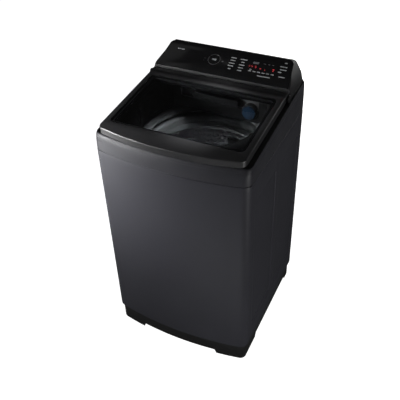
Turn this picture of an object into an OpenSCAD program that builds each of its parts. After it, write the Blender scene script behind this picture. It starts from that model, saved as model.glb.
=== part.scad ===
// Top load washing machine: bowed sheet steel cabinet on a plastic base, sloping lid with a
// glass window, console at the rear, and a hung tub with drum, pulsator and direct drive.
// Millimetres. +X is to the right as one faces the machine, -Y is its front, +Z is up.
// The origin is on the floor, under the middle of the machine.

/* [Cabinet] */
// Width of the cabinet
cabinet_w = 540; // [536:1:550]
// Depth from the front corners to the rear face
cabinet_d = 508; // [504:1:516]
// How far the middle of the front stands proud of its corners
front_bow = 30; // [24:1:34]
// Radius of the two front corners
front_corner_r = 32; // [26:1:36]
// Radius of the two rear corners
rear_corner_r = 20; // [14:1:24]
// Height of the plastic base
base_h = 80; // [76:1:84]
// Height of the seam between cabinet and top cover
seam_z = 816; // [812:1:820]
// Thickness of the sheet steel
sheet_t = 1.2; // [1:0.1:1.6]

/* [Top cover and lid] */
// Height of the lid's top plane over the middle of the machine
lid_top_z = 926; // [924:0.5:928]
// Angle at which the lid and the top cover rise towards the rear
lid_slope = 5.8; // [5.4:0.1:6]
// Width of the lid
lid_w = 500; // [494:1:504]
// Thickness of the lid
lid_t = 25; // [24:0.5:26]
// Radius of the round opening in the top cover
throat_r = 215; // [211:1:217]
// How far the lid opens, in degrees
lid_open = 95; // [80:1:95]

/* [Console] */
// Height of the console's highest line
console_top_z = 1000; // [998:0.5:1001]
// Angle of the control panel
panel_slope = 27.5; // [26.5:0.5:28]
// Length of the control panel, up its slope
panel_len = 115; // [112:1:115]
// Half of the control panel's width at its lower edge
panel_half_w = 245; // [240:1:246]

/* [Drum and tub] */
// Inner radius of the drum
drum_r = 222; // [219:1:223]
// Inner radius of the tub
tub_r = 237; // [236:0.5:238]
// Inner radius of the balance ring
balance_r = 192; // [188:1:196]
// Height of the balance ring's top
drum_top_z = 750; // [746:1:752]
// Rows of drain holes in the drum wall
drum_hole_rows = 5; // [2:1:6]
// Drain holes in one row
drum_hole_columns = 12; // [6:1:16]
// Radius of the pulsator
pulsator_r = 178; // [170:1:182]
// Vanes on the pulsator
pulsator_vanes = 6; // [4:1:8]
// Poles of the stator
stator_poles = 24; // [12:1:36]

/* [Suspension and feet] */
// Radius of a suspension rod
rod_r = 4; // [3:0.5:5]
// Turns in a suspension spring
spring_turns = 5; // [4:1:6]
// Radius of a levelling foot
foot_r = 23; // [20:1:24]

/* [Hidden] */

$fn = 64;
eps = 0.01;

// Colours
charcoal = [0.13, 0.13, 0.145];
black = [0.03, 0.03, 0.033];
dark_grey = [0.09, 0.09, 0.10];
mid_grey = [0.35, 0.36, 0.38];
light_grey = [0.62, 0.63, 0.65];
steel = [0.70, 0.71, 0.73];
zinc = [0.55, 0.57, 0.60];
rubber = [0.05, 0.05, 0.05];
copper = [0.72, 0.38, 0.18];
softener_blue = [0.20, 0.36, 0.62];
board_green = [0.05, 0.25, 0.12];

// Main derived places
half_w = cabinet_w / 2;
corner_y = cabinet_d / 2;
rear_y = cabinet_d / 2;
lid_gap = 2;
shelf_z = lid_top_z - (lid_t + lid_gap) / cos(lid_slope);
running_gap = 0.06;
clear_gap = 0.3;

// Base and feet
base_inset = 8;
base_wall = 3;
base_edge_z = 23;
foot_gap_z = 5;
foot_x = 208;
foot_y = -200;
rear_foot_y = 224;
block_x = 150;
block_front_y = -130;
block_rear_y = 198;

// Tub and drum, all round the vertical axis through the origin
tub_wall = 3;
tub_floor_z = 250;
tub_rim_z = 770;
drum_wall = 1;
drum_floor_z = 290;
drum_rim_z = 690;
throat_z = 800;
back_wall_y = 120;
rod_x = 232;
rod_y = 212;
rod_top_z = 789;
rod_foot_z = 262;
lug_z = 336;
shaft_r = 8;
spin_r = 12;
bearing_r = 24;
gearcase_r = 45;
gearcase_z = 190;
rotor_z = 158;
rotor_r = 118;
stator_z = 174;
clutch_travel = 6;

// Drain
sump_x = 130;
sump_y = 110;
sump_pipe_r = 16;
pump_top_z = 118;
drain_z = 104;
drain_r = 14;

// Lid, in its own plane: y runs up the slope, z is 0 on the top face
lid_front_y = -278;
lid_corner_y = -248;
lid_rear_y = 125;
lid_corner_r = 22;
barrel_r = lid_t / 2;
hinge_y = lid_rear_y - barrel_r;
hinge_pin_r = 4;
window_w = 446;
window_front_y = -205;
window_rear_y = 70;
glass_t = 4;
glass_edge = 6;

// Console
console_front_y = 128;
panel_z = console_top_z - panel_len * sin(panel_slope);
shoulder_r = 18;
shoulder_x = 216;
shoulder_end = 15;
side_points = [[247.5, 946], [258, 905], [262, 880], [266, 800]];
panel_lean = 14;
panel_corner_r = 18;
power_x = -43;
power_s = 62;
button_r = 17;
button_travel = 1.5;
inlet_x = 222;
inlet_z = 940;
inlet_r = 13.2;
inlet_reach = 30;
valve_y = rear_y - 23;
sensor_x = -190;
sensor_y = 215;
plunger_x = 236;
plunger_y = -150;

// Dispenser, in the rear wall of the throat
drawer_x = [-96, 76];
drawer_z = [851, 874];
drawer_front_y = 112;
drawer_rear_y = 190;
cap_x = 117;
cap_z = 838;
cap_r = 24;
cap_stem_r = 15;
boss_r = 28;
recess_x = [-146, 148];
recess_z = [846, 884];
housing_rear_y = 206;

// Points of an arc round (x, y) from angle a to angle b, in n steps
function arc(x, y, r, a, b, n) = [for (i = [0:n]) let (t = a + (b - a) * i / n)
    [x + r * cos(t), y + r * sin(t)]];

// Outline seen from above: bowed front, round corners, straight sides and rear. Each inset
// moves that face inwards.
function rim(side, front, rear) = let (
        w = half_w - side,
        r = max(4, front_corner_r - max(side, front)),
        q = max(4, rear_corner_r - max(side, rear)),
        tilt = atan(2 * front_bow / half_w * (w - r) / half_w),
        xs = w - r + r * sin(tilt),
        ys = -corner_y - front_bow * (1 - pow(xs / half_w, 2)) + front,
        yc = ys + r * cos(tilt),
        yr = rear_y - rear,
        n = 8)
    concat(
        [for (i = [-n:n]) let (x = xs * i / n)
            [x, -corner_y - front_bow * (1 - pow(x / half_w, 2)) + front]],
        [for (p = arc(w - r, yc, r, -90 + tilt, 0, 6)) if (p[0] > xs + eps) p],
        arc(w - q, yr - q, q, 0, 90, 4),
        arc(-w + q, yr - q, q, 90, 180, 4),
        [for (p = arc(-w + r, yc, r, 180, 270 - tilt, 6)) if (p[0] < -xs - eps) p]);

// Outline of the lid: bowed front, round front corners, square rear corners
function lid_rim(inset) = let (
        w = lid_w / 2 - inset,
        r = lid_corner_r - inset / 2,
        bow = lid_corner_y - lid_front_y,
        tilt = atan(2 * bow * (w - r) / pow(lid_w / 2, 2)),
        xs = w - r + r * sin(tilt),
        ys = lid_front_y + bow * pow(2 * xs / lid_w, 2) + inset,
        yc = ys + r * cos(tilt),
        n = 8)
    concat(
        [for (i = [-n:n]) let (x = xs * i / n)
            [x, lid_front_y + bow * pow(2 * x / lid_w, 2) + inset]],
        [for (p = arc(w - r, yc, r, -90 + tilt, 0, 6)) if (p[0] > xs + eps) p],
        [[w, hinge_y - inset], [-w, hinge_y - inset]],
        [for (p = arc(-w + r, yc, r, 180, 270 - tilt, 6)) if (p[0] < -xs - eps) p]);

// Rectangle with round corners, from (x0, y0) to (x1, y1)
function round_box(x0, y0, x1, y1, r) = concat(
    arc(x1 - r, y0 + r, r, -90, 0, 4), arc(x1 - r, y1 - r, r, 0, 90, 4),
    arc(x0 + r, y1 - r, r, 90, 180, 4), arc(x0 + r, y0 + r, r, 180, 270, 4));

// Solid between two heights with a given outline
module slab(points, z0, z1) {
    translate([0, 0, z0]) linear_extrude(z1 - z0) polygon(points);
}

// Ring between two outlines
module band(outer, inner, z0, z1) {
    translate([0, 0, z0]) linear_extrude(z1 - z0) difference() {
        polygon(outer);
        polygon(inner);
    }
}

// Box given by its two corners
module block(a, b) {
    translate(a) cube(b - a);
}

// Ring round the vertical axis
module tube(r_out, r_in, z0, z1) {
    translate([0, 0, z0]) difference() {
        cylinder(r = r_out, h = z1 - z0);
        translate([0, 0, -1]) cylinder(r = r_in, h = z1 - z0 + 2);
    }
}

// Rod along +X from x0 to x1
module x_rod(y, z, r, x0, x1) {
    translate([x0, y, z]) rotate([0, 90, 0]) cylinder(r = r, h = x1 - x0);
}

// Rod along +Y from y0 to y1
module y_rod(x, z, r, y0, y1) {
    translate([x, y0, z]) rotate([-90, 0, 0]) cylinder(r = r, h = y1 - y0);
}

// The lid's plane: x across, y up the slope, z out of the top face
module lid_plane() {
    translate([0, 0, lid_top_z]) rotate([lid_slope, 0, 0]) children();
}

// The plane of the top cover's upper edge
module shelf_plane() {
    lid_plane() translate([0, 0, -lid_t - lid_gap]) children();
}

// The control panel's plane: y runs up the panel from its lower edge, z points out of it
module panel_plane() {
    translate([0, console_front_y, panel_z]) rotate([panel_slope, 0, 0]) children();
}

// Everything below the top cover's upper edge, lowered by drop
module below_shelf(drop) {
    shelf_plane() block([-400, -500, -400], [400, 500, -drop]);
}

// The four places of the suspension
module each_rod() {
    for (x = [-rod_x, rod_x], y = [-rod_y, rod_y]) translate([x, y, 0]) children();
}

// Shell through rings of points, each ring a closed loop with the same number of points
module ring_shell(rings) {
    n = len(rings[0]);
    m = len(rings);
    polyhedron(
        points = [for (ring = rings) for (p = ring) p],
        faces = [for (j = [0:m - 1]) for (i = [0:n - 1]) for (half = [0, 1])
            let (a = j * n + i, b = j * n + (i + 1) % n,
                 c = ((j + 1) % m) * n + (i + 1) % n, d = ((j + 1) % m) * n + i)
            half == 0 ? [a, c, b] : [a, d, c]]);
}

// ---- Cabinet and base ----

side_panels = [[-204, -16], [16, 204]];   // front and rear limits of the embossed fields
emboss_z = [165, 735];
emboss_depth = 2.4;
flange_w = 14;
rear_opening_edge = 35;
pad_x = 150;
pad_half_w = 55;
pad_z = [470, 760];
pad_h = 4;
service_half_w = 110;
service_z = [170, 420];
service_lap = 12;
gland_z = drain_z + 30;
gland_r = 9;

module cabinet_shell() {
    color(charcoal) difference() {
        union() {
            band(rim(0, 0, 0), rim(sheet_t, sheet_t, sheet_t), base_h, seam_z);
            for (z = [base_h, seam_z - sheet_t])
                band(rim(sheet_t / 2, sheet_t / 2, sheet_t / 2), rim(flange_w, flange_w, flange_w),
                    z, z + sheet_t);
            for (s = [-1, 1], y = side_panels) {
                block([s > 0 ? half_w - emboss_depth - sheet_t : -half_w + sheet_t / 2,
                       y[0] - sheet_t, emboss_z[0] - sheet_t],
                      [s > 0 ? half_w - sheet_t / 2 : -half_w + emboss_depth + sheet_t,
                       y[1] + sheet_t, emboss_z[1] + sheet_t]);
            }
        }
        for (s = [-1, 1], y = side_panels)
            block([s > 0 ? half_w - emboss_depth : -half_w - 1, y[0], emboss_z[0]],
                  [s > 0 ? half_w + 1 : -half_w + emboss_depth, y[1], emboss_z[1]]);
        block([-half_w + rear_opening_edge, rear_y - 30, base_h + 8],
              [half_w - rear_opening_edge, rear_y + 1, seam_z - 16]);
    }
}

module rear_panel() {
    color(zinc) difference() {
        union() {
            block([-half_w + 20, rear_y, base_h + 4], [half_w - 20, rear_y + sheet_t, seam_z - 4]);
            for (x = [-pad_x, pad_x])
                block([x - pad_half_w, rear_y + sheet_t / 2, pad_z[0]],
                      [x + pad_half_w, rear_y + pad_h, pad_z[1]]);
        }
        for (x = [-pad_x, pad_x])
            block([x - pad_half_w + sheet_t, rear_y - 1, pad_z[0] + sheet_t],
                  [x + pad_half_w - sheet_t, rear_y + pad_h - sheet_t, pad_z[1] - sheet_t]);
        block([-service_half_w, rear_y - 1, service_z[0]], [service_half_w, rear_y + 6, service_z[1]]);
        y_rod(sump_x, drain_z, drain_r + 3, rear_y - 1, rear_y + 7);
        y_rod(-sump_x, gland_z, gland_r + running_gap, rear_y - 1, rear_y + 7);
    }
}

module rear_service_cover() {
    w = service_half_w + service_lap;
    slot_pitch = 14;
    slot_h = 5;
    slot_half_w = 60;
    first_slot_z = 250;
    color(zinc) difference() {
        block([-w, rear_y + sheet_t, service_z[0] - service_lap],
              [w, rear_y + 2 * sheet_t, service_z[1] + service_lap]);
        for (i = [0:7]) let (z = first_slot_z + slot_pitch * i)
            block([-slot_half_w, rear_y, z], [slot_half_w, rear_y + 8, z + slot_h]);
    }
}

base_hole_x = 214;
base_hole_y = [-190, 196];
base_inner = rim(base_inset + base_wall, base_inset + base_wall, base_inset + base_wall);
foot_boss_r = 14;
foot_stem_r = 5;

module base_corner(x0, y0, x1, y1) {
    intersection() {
        slab(rim(base_inset, base_inset, base_inset), foot_gap_z, base_h - base_wall);
        difference() {
            block([x0, y0, foot_gap_z], [x1, y1, base_h - base_wall]);
            intersection() {
                block([x0 + base_wall, y0 + base_wall, foot_gap_z + base_wall],
                      [x1 - base_wall, y1 - base_wall, base_h]);
                slab(base_inner, 0, base_h);
            }
        }
    }
}

module base_frame() {
    color(black) difference() {
        union() {
            band(rim(base_inset, base_inset, base_inset), base_inner, base_edge_z, base_h);
            difference() {
                slab(rim(base_inset, base_inset, base_inset), base_h - base_wall, base_h);
                block([-base_hole_x, base_hole_y[0], 0], [base_hole_x, base_hole_y[1], base_h + 1]);
            }
            for (s = [-1, 1]) {
                base_corner(s > 0 ? block_x : -300, -300, s > 0 ? 300 : -block_x, block_front_y);
                base_corner(s > 0 ? block_x : -300, block_rear_y, s > 0 ? 300 : -block_x, 300);
                translate([s * foot_x, foot_y, foot_gap_z]) cylinder(r = foot_boss_r, h = 30);
            }
        }
        for (s = [-1, 1])
            translate([s * foot_x, foot_y, 0]) cylinder(r = foot_stem_r + running_gap, h = 60);
    }
}

module foot(side) {
    color(rubber) translate([side * foot_x, foot_y, 0]) {
        cylinder(r = foot_r, h = foot_gap_z - clear_gap);
        cylinder(r = foot_stem_r, h = 42);
    }
}

module foot_front_left() {
    foot(-1);
}

module foot_front_right() {
    foot(1);
}

module rear_feet() {
    pad = [30, 16];
    color(rubber) for (x = [-foot_x, foot_x])
        slab(round_box(x - pad[0], rear_foot_y - pad[1], x + pad[0], rear_foot_y + pad[1], 6),
            0, foot_gap_z);
}

module base_guard() {
    guard_pitch = 14;
    guard_slot = 6;
    color(black) difference() {
        intersection() {
            slab(base_inner, base_edge_z + 2, base_edge_z + 4);
            block([-block_x, -300, 0], [block_x, 300, 50]);
        }
        for (i = [-6:6]) let (y = guard_pitch * (i - 4))
            block([-60, y, 0], [60, y + guard_slot, 50]);
    }
}

module corner_brackets() {
    color(zinc) for (s = [-1, 1], t = [-1, 1]) difference() {
        intersection() {
            slab(rim(sheet_t, sheet_t, sheet_t), rod_top_z - 3, rod_top_z);
            linear_extrude(900) polygon([[s * 140, t * 300], [s * 290, t * 120], [s * 290, t * 300]]);
        }
        translate([s * rod_x, t * rod_y, 0]) cylinder(r = rod_r + 2, h = 900);
    }
}

module suspension_rods() {
    color(steel) each_rod() {
        translate([0, 0, rod_foot_z]) cylinder(r = rod_r, h = rod_top_z - rod_foot_z + 4);
        translate([0, 0, rod_top_z]) cylinder(r = 14, h = 8);
        translate([0, 0, rod_foot_z - 8]) cylinder(r = 20, h = 8);
    }
}

// Coil spring as one swept tube with closed ends
module coil(r, wire, z0, z1, turns) {
    sides = 6;
    steps = 12 * turns;
    function ring(k) = let (a = 360 * turns * k / steps, z = z0 + (z1 - z0) * k / steps)
        [for (j = [0:sides - 1]) let (b = 360 * j / sides)
            [(r + wire * cos(b)) * cos(a), (r + wire * cos(b)) * sin(a), z + wire * sin(b)]];
    polyhedron(
        points = [for (k = [0:steps]) for (p = ring(k)) p],
        faces = concat(
            [[for (j = [0:sides - 1]) j]],
            [for (k = [0:steps - 1], j = [0:sides - 1]) let (a = k * sides + j,
                    b = k * sides + (j + 1) % sides, c = b + sides, d = a + sides) [a, d, c, b]],
            [[for (j = [sides - 1:-1:0]) steps * sides + j]]));
}

module suspension_springs() {
    wire = 1.8;
    color(zinc) each_rod()
        coil(15, wire, rod_foot_z + wire, lug_z - 6 - wire - clear_gap, spring_turns);
}

// ---- Top cover ----

// Ring of the skirt at a share of the way from the seam to its sloping upper edge
function skirt_ring(share, side, front, rear) = [for (p = rim(side, front, rear)) let (
        top = shelf_z + p[1] * tan(lid_slope))
    [p[0], p[1], seam_z + share * (top - seam_z)]];

skirt_wall = 3;
skirt_steps = [[0, 0.4, 0.4, 0.4], [0.55, 1, 2.5, 0.5], [0.8, 2, 6, 0.6], [0.92, 3, 9, 0.7],
    [1, 5, 13, 1]];

module top_skirt() {
    color(charcoal) ring_shell(concat(
        [for (s = skirt_steps) skirt_ring(s[0], s[1], s[2], s[3])],
        [for (i = [len(skirt_steps) - 1:-1:0]) let (s = skirt_steps[i])
            skirt_ring(s[0], s[1] + skirt_wall, s[2] + skirt_wall, s[3] + skirt_wall)]));
}

deck_drop = 4;
deck_t = 3;
deck_edge = [8.4, 16.4, 4.4];

// The throat's outline: a circle cut off by the rear wall
module throat(grow) {
    difference() {
        circle(r = throat_r + grow, $fn = 96);
        translate([-300, back_wall_y + grow]) square([600, 300]);
    }
}

module dispenser_window() {
    block([recess_x[0] - 1, back_wall_y - 2, recess_z[0] - 1],
          [recess_x[1] + 1, back_wall_y + 8, recess_z[1] + 1]);
    y_rod(cap_x, cap_z, boss_r + 1, back_wall_y - 2, back_wall_y + 8);
}

module top_deck() {
    color(dark_grey) difference() {
        union() {
            difference() {
                intersection() {
                    slab(rim(deck_edge[0], deck_edge[1], deck_edge[2]), 700, 990);
                    below_shelf(deck_drop);
                }
                below_shelf(deck_drop + deck_t);
            }
            intersection() {
                translate([0, 0, throat_z]) linear_extrude(200) throat(deck_t);
                below_shelf(deck_drop + 1);
            }
            difference() {
                intersection() {
                    slab(rim(deck_edge[0], deck_edge[1], deck_edge[2]), 700, 990);
                    below_shelf(0);
                    block([-300, console_front_y, 800], [300, 400, 990]);
                }
                below_shelf(deck_drop + 1);
                block([-230, console_front_y + 8, 700], [230, rear_y - 12, 990]);
            }
        }
        translate([0, 0, throat_z - 1]) linear_extrude(300) throat(0);
        dispenser_window();
        shelf_plane() translate([plunger_x, plunger_y, -20])
            cylinder(r = plunger_r + running_gap, h = 30);
        translate([inlet_x, valve_y, 800]) cylinder(r = 10, h = 200);
        translate([sensor_x, sensor_y, 800]) cylinder(r = 7, h = 200);
    }
}

module dispenser_housing() {
    color(mid_grey) difference() {
        union() {
            block([recess_x[0], back_wall_y - 3, recess_z[0]], [recess_x[1], housing_rear_y, recess_z[1]]);
            y_rod(cap_x, cap_z, boss_r, back_wall_y - 6, 160);
        }
        block([drawer_x[0] - 1, back_wall_y - 10, drawer_z[0] - 1],
              [drawer_x[1] + 1, housing_rear_y - 2, drawer_z[1] + 1]);
        y_rod(cap_x, cap_z, cap_stem_r + running_gap, back_wall_y - 10, 156);
    }
}

module detergent_drawer() {
    wall = 2;
    front_t = 3;
    divider = [-4, 0];
    grip_x = [-40, 20];
    grip_h = 7;
    color(dark_grey) difference() {
        block([drawer_x[0], drawer_front_y, drawer_z[0]], [drawer_x[1], drawer_rear_y, drawer_z[1]]);
        for (x = [[drawer_x[0] + wall, divider[0]], [divider[1], drawer_x[1] - wall]])
            block([x[0], drawer_front_y + front_t, drawer_z[0] + wall],
                  [x[1], drawer_rear_y - wall, drawer_z[1] + 1]);
        block([grip_x[0], drawer_front_y - 1, drawer_z[1] - grip_h],
              [grip_x[1], drawer_front_y + front_t / 2, drawer_z[1] + 1]);
    }
}

module softener_cap() {
    color(softener_blue) difference() {
        union() {
            y_rod(cap_x, cap_z, cap_r, back_wall_y - 13, back_wall_y - 6 - clear_gap);
            y_rod(cap_x, cap_z, cap_stem_r, back_wall_y - 8, back_wall_y + 12);
        }
        for (s = [-1, 1])
            block([cap_x - 18, back_wall_y - 14, cap_z + (s > 0 ? 4 : -14)],
                  [cap_x + 18, back_wall_y - 9, cap_z + (s > 0 ? 14 : -4)]);
    }
}

// ---- Lid ----

// Outline of the lid's window, widened by grow
function window(grow) = round_box(-window_w / 2 - grow, window_front_y - grow,
    window_w / 2 + grow, window_rear_y + grow, window_r + grow / 2);

// The hinge line, in the lid's plane
module on_hinge() {
    translate([0, hinge_y, -barrel_r]) rotate([0, 90, 0]) children();
}

lid_frame_wall = 4;
lid_inner_h = 11;
window_r = 12;
barrel_bore = 14;

module lid_frame() {
    lid_plane() color(black) difference() {
        union() {
            difference() {
                slab(lid_rim(0), -lid_t, 0);
                slab(lid_rim(lid_frame_wall), -lid_t - 1, -lid_t + lid_inner_h);
            }
            on_hinge() translate([0, 0, -lid_w / 2]) cylinder(r = barrel_r, h = lid_w);
        }
        slab(window(0), -40, 5);
        slab(window(glass_edge), -glass_t, 5);
        on_hinge() for (s = [-1, 1])
            translate([0, 0, s * (lid_w / 2 - barrel_bore) - 15])
                cylinder(r = hinge_pin_r + running_gap, h = 30);
    }
}

module lid_inner_frame() {
    notch_pitch = 60;
    lid_plane() color(dark_grey) difference() {
        intersection() {
            slab(lid_rim(lid_frame_wall), -lid_t, -lid_t + lid_inner_h);
            block([-300, -400, -60], [300, hinge_y - barrel_r - 4, 0]);
        }
        slab(window(glass_edge / 2), -40, 5);
        for (i = [-3:3]) block([i * notch_pitch - 8, window_rear_y + 8, -lid_t - 1],
            [i * notch_pitch + 8, window_rear_y + 14, -lid_t + 6]);
    }
}

module lid_glass() {
    lid_plane() color([0.35, 0.4, 0.42, 0.4])
        slab(window(glass_edge), -glass_t, 0);
}

bracket_x = lid_w / 2 + 1.5;
bracket_t = 6;
bracket_r = 10;

module hinge_brackets() {
    lid_plane() color(dark_grey) for (s = [-1, 1]) difference() {
        translate([s > 0 ? bracket_x : -bracket_x - bracket_t, 0, 0]) union() {
            block([0, hinge_y - bracket_r, -lid_t - lid_gap - deck_drop],
                  [bracket_t, hinge_y + bracket_r, -barrel_r]);
            translate([0, hinge_y, -barrel_r]) rotate([0, 90, 0])
                cylinder(r = bracket_r, h = bracket_t);
        }
        translate([s * (bracket_x + bracket_t / 2), hinge_y, -barrel_r]) rotate([0, 90, 0])
            cylinder(r = hinge_pin_r, h = 20, center = true);
    }
}

module hinge_pins() {
    lid_plane() color(steel) for (s = [-1, 1])
        translate([s > 0 ? lid_w / 2 - 10 : -bracket_x - bracket_t, hinge_y, -barrel_r])
            rotate([0, 90, 0]) cylinder(r = hinge_pin_r, h = bracket_x + bracket_t - lid_w / 2 + 10);
}

plunger_r = 4;
plunger_len = 26;

module lid_switch() {
    color(black) shelf_plane() difference() {
        block([plunger_x - 12, plunger_y - 40, -36], [plunger_x + 14, plunger_y + 30,
            -deck_drop - deck_t]);
        translate([plunger_x, plunger_y, -34]) cylinder(r = plunger_r + running_gap, h = 60);
    }
}

module lid_plunger() {
    color(light_grey) shelf_plane() translate([plunger_x, plunger_y, -plunger_len])
        cylinder(r = plunger_r, h = plunger_len);
}

// ---- Console ----

console_t = 3;
rear_cover_x = 130;
rear_cover_z = [914, 970];
rear_cover_screw_x = 122;
rear_cover_screw_z = 942;

// Seen from the side: front wall, panel, and a rounded rear edge
module console_profile(inset) {
    top_y = console_front_y + panel_len * cos(panel_slope);
    polygon(concat(
        [[console_front_y + inset, 800], [console_front_y + inset, panel_z - inset * 0.4],
         [top_y, console_top_z - inset]],
        arc(top_y + 4, console_top_z - 20, 20 - inset, 90, 0, 6),
        [[rear_y - inset - 0.5, 800]]));
}

// Seen from the front: round shoulders over sides that spread towards their foot
module console_front_view(inset) {
    half = concat(
        arc(shoulder_x, console_top_z - shoulder_r, shoulder_r - inset, 90, shoulder_end, 8),
        [for (p = side_points) [p[0] - inset, p[1]]]);
    polygon(concat(half, [for (i = [len(half) - 1:-1:0]) [-half[i][0], half[i][1]]]));
}

module console_mass(inset) {
    intersection() {
        translate([-300, 0, 0]) rotate([90, 0, 90]) linear_extrude(600) console_profile(inset);
        translate([0, 400, 0]) rotate([90, 0, 0]) linear_extrude(400) console_front_view(inset);
        slab(rim(1 + inset, 13, 0.5 + inset), 800, console_top_z + 1);
    }
}

function panel_outline(inset) = let (w = panel_half_w - inset, r = panel_corner_r) concat(
    [[-w, inset], [w, inset]],
    arc(w - panel_lean - r, panel_len - inset - r, r, 0, 90, 5),
    arc(-w + panel_lean + r, panel_len - inset - r, r, 90, 180, 5));
fascia_t = 3;

module console_housing() {
    color(black) difference() {
        console_mass(0);
        difference() {
            console_mass(console_t);
            panel_plane() block([-300, -60, -fascia_t - 3], [300, 200, 60]);
        }
        below_shelf(0);
        panel_plane() slab(panel_outline(0), -fascia_t, 40);
        panel_plane() slab(panel_outline(14), -fascia_t - 20, 1);
        y_rod(inlet_x, inlet_z, inlet_r, rear_y - 20, rear_y + 5);
        block([-rear_cover_x + 10, rear_y - 10, rear_cover_z[0] + 8],
              [rear_cover_x - 10, rear_y + 5, rear_cover_z[1] - 8]);
    }
}

module console_rear_cover() {
    color(black) difference() {
        block([-rear_cover_x, rear_y - 0.5, rear_cover_z[0]],
              [rear_cover_x, rear_y + 1.5, rear_cover_z[1]]);
        for (x = [-rear_cover_screw_x, rear_cover_screw_x])
            y_rod(x, rear_cover_screw_z, 2.2, rear_y - 5, rear_y + 5);
    }
}

module control_fascia() {
    color(black) panel_plane() difference() {
        slab(panel_outline(0), -fascia_t, 0);
        translate([power_x, power_s, -10]) cylinder(r = button_r + clear_gap, h = 20);
    }
}

module power_ring() {
    color(light_grey) panel_plane() translate([power_x, power_s, 0]) tube(22.5, 20.5, 0, 0.6);
}

module power_button() {
    color(dark_grey) panel_plane() translate([power_x, power_s, 0]) {
        translate([0, 0, -6]) cylinder(r = button_r, h = 6.4);
        translate([0, 0, -8.5]) cylinder(r = 5, h = 3);
    }
}

module display_module() {
    color(dark_grey) panel_plane() block([70, 24, -10], [190, 92, -fascia_t]);
}

module board_case() {
    color(mid_grey) panel_plane() difference() {
        block([-130, 8, -28], [196, 106, -2 * fascia_t]);
        block([-127, 11, -25], [193, 103, -fascia_t]);
    }
}

module control_board() {
    color(board_green) panel_plane() {
        block([-124, 22, -17], [190, 90, -15]);
        for (p = [[-90, 40], [20, 60], [120, 40]])
            block([p[0] - 10, p[1] - 10, -15], [p[0] + 10, p[1] + 10, -11.5]);
        for (x = [-110, 150], y = [30, 80]) translate([x, y, -25]) cylinder(r = 3, h = 8);
    }
}

valve_half_w = 17;
valve_half_d = 11;
valve_z = [inlet_z - 15, inlet_z + 16];
hose_r = 7;
hose_top_z = inlet_z - 30;

module inlet_valve() {
    color(light_grey) difference() {
        union() {
            y_rod(inlet_x, inlet_z, inlet_r - 0.6, rear_y - 12, rear_y + 1);
            y_rod(inlet_x, inlet_z, inlet_r, rear_y + 1, rear_y + inlet_reach);
            block([inlet_x - valve_half_w, valve_y - valve_half_d, valve_z[0]],
                  [inlet_x + valve_half_w, valve_y + valve_half_d, valve_z[1]]);
            translate([inlet_x - 8, valve_y, valve_z[1]]) cylinder(r = 9, h = 8);
            translate([inlet_x, valve_y, hose_top_z]) cylinder(r = hose_r + 1, h = 16);
        }
        y_rod(inlet_x, inlet_z, 9, rear_y + 2, rear_y + inlet_reach + 1);
    }
}

module inlet_hose() {
    low_z = 867;
    near_y = 190;
    color(black) {
        translate([inlet_x, valve_y, low_z]) cylinder(r = hose_r, h = hose_top_z - low_z);
        y_rod(inlet_x, low_z, hose_r, near_y, valve_y);
        x_rod(near_y, low_z, hose_r, recess_x[1], inlet_x);
        for (y = [near_y, valve_y]) translate([inlet_x, y, low_z]) sphere(r = hose_r + 1);
    }
}

module cord_gland() {
    cord_r = 4;
    color(black) difference() {
        union() {
            y_rod(-sump_x, gland_z, gland_r, rear_y - 8, rear_y + 8);
            y_rod(-sump_x, gland_z, gland_r + 4, rear_y + sheet_t, rear_y + 5);
        }
        y_rod(-sump_x, gland_z, cord_r, rear_y - 9, rear_y + 9);
    }
}

module panel_screws() {
    head_r = 5;
    head_h = 2;
    color(steel) {
        for (x = [-240, 240], z = [100, 280, 460, 640, 796])
            y_rod(x, z, head_r, rear_y + sheet_t, rear_y + sheet_t + head_h);
        for (x = [-service_half_w - 2, service_half_w + 2], z = [service_z[0] - 2, service_z[1] + 2])
            y_rod(x, z, head_r, rear_y + 2 * sheet_t, rear_y + 2 * sheet_t + head_h);
        for (x = [-rear_cover_screw_x, rear_cover_screw_x])
            y_rod(x, rear_cover_screw_z, head_r, rear_y + 1.5, rear_y + 1.5 + head_h);
    }
}

// ---- Water level and drain ----

tube_r = 4;
tube_z = [300, 924];
hose_joint_y = sump_y + 52;
drain_reach = 28;

module pressure_sensor() {
    color(light_grey) {
        translate([sensor_x, sensor_y, tube_z[1] + 6]) cylinder(r = 22, h = 16);
        translate([sensor_x, sensor_y, tube_z[1]]) cylinder(r = tube_r, h = 6);
    }
}

module pressure_tube() {
    color(black) translate([sensor_x, sensor_y, 0]) tube(tube_r, tube_r - 1.5, tube_z[0], tube_z[1]);
}

module drain_pump() {
    pump_z = base_edge_z + 4;
    pump_r = 38;
    pump_h = 84;
    motor_half_d = 20;
    motor_len = 44;
    motor_h = 46;
    color(light_grey) difference() {
        union() {
            translate([sump_x, sump_y, pump_z]) cylinder(r = pump_r, h = pump_h);
            translate([sump_x, sump_y, pump_z + pump_h - 8])
                cylinder(r = sump_pipe_r, h = pump_top_z - pump_z - pump_h + 8);
            y_rod(sump_x, drain_z, drain_r - 2, sump_y + 20, hose_joint_y);
            block([sump_x - pump_r - motor_len, sump_y - motor_half_d, pump_z],
                  [sump_x - 20, sump_y + motor_half_d, pump_z + motor_h]);
        }
        translate([sump_x, sump_y, base_edge_z + 60]) cylinder(r = sump_pipe_r - 3, h = 100);
    }
}

module drain_outlet() {
    color(black) difference() {
        union() {
            y_rod(sump_x, drain_z, drain_r, hose_joint_y, rear_y + drain_reach);
            y_rod(sump_x, drain_z, drain_r + 5, rear_y + sheet_t, rear_y + 4);
        }
        y_rod(sump_x, drain_z, drain_r - 3, hose_joint_y - 1, rear_y + drain_reach + 1);
    }
}

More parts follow.
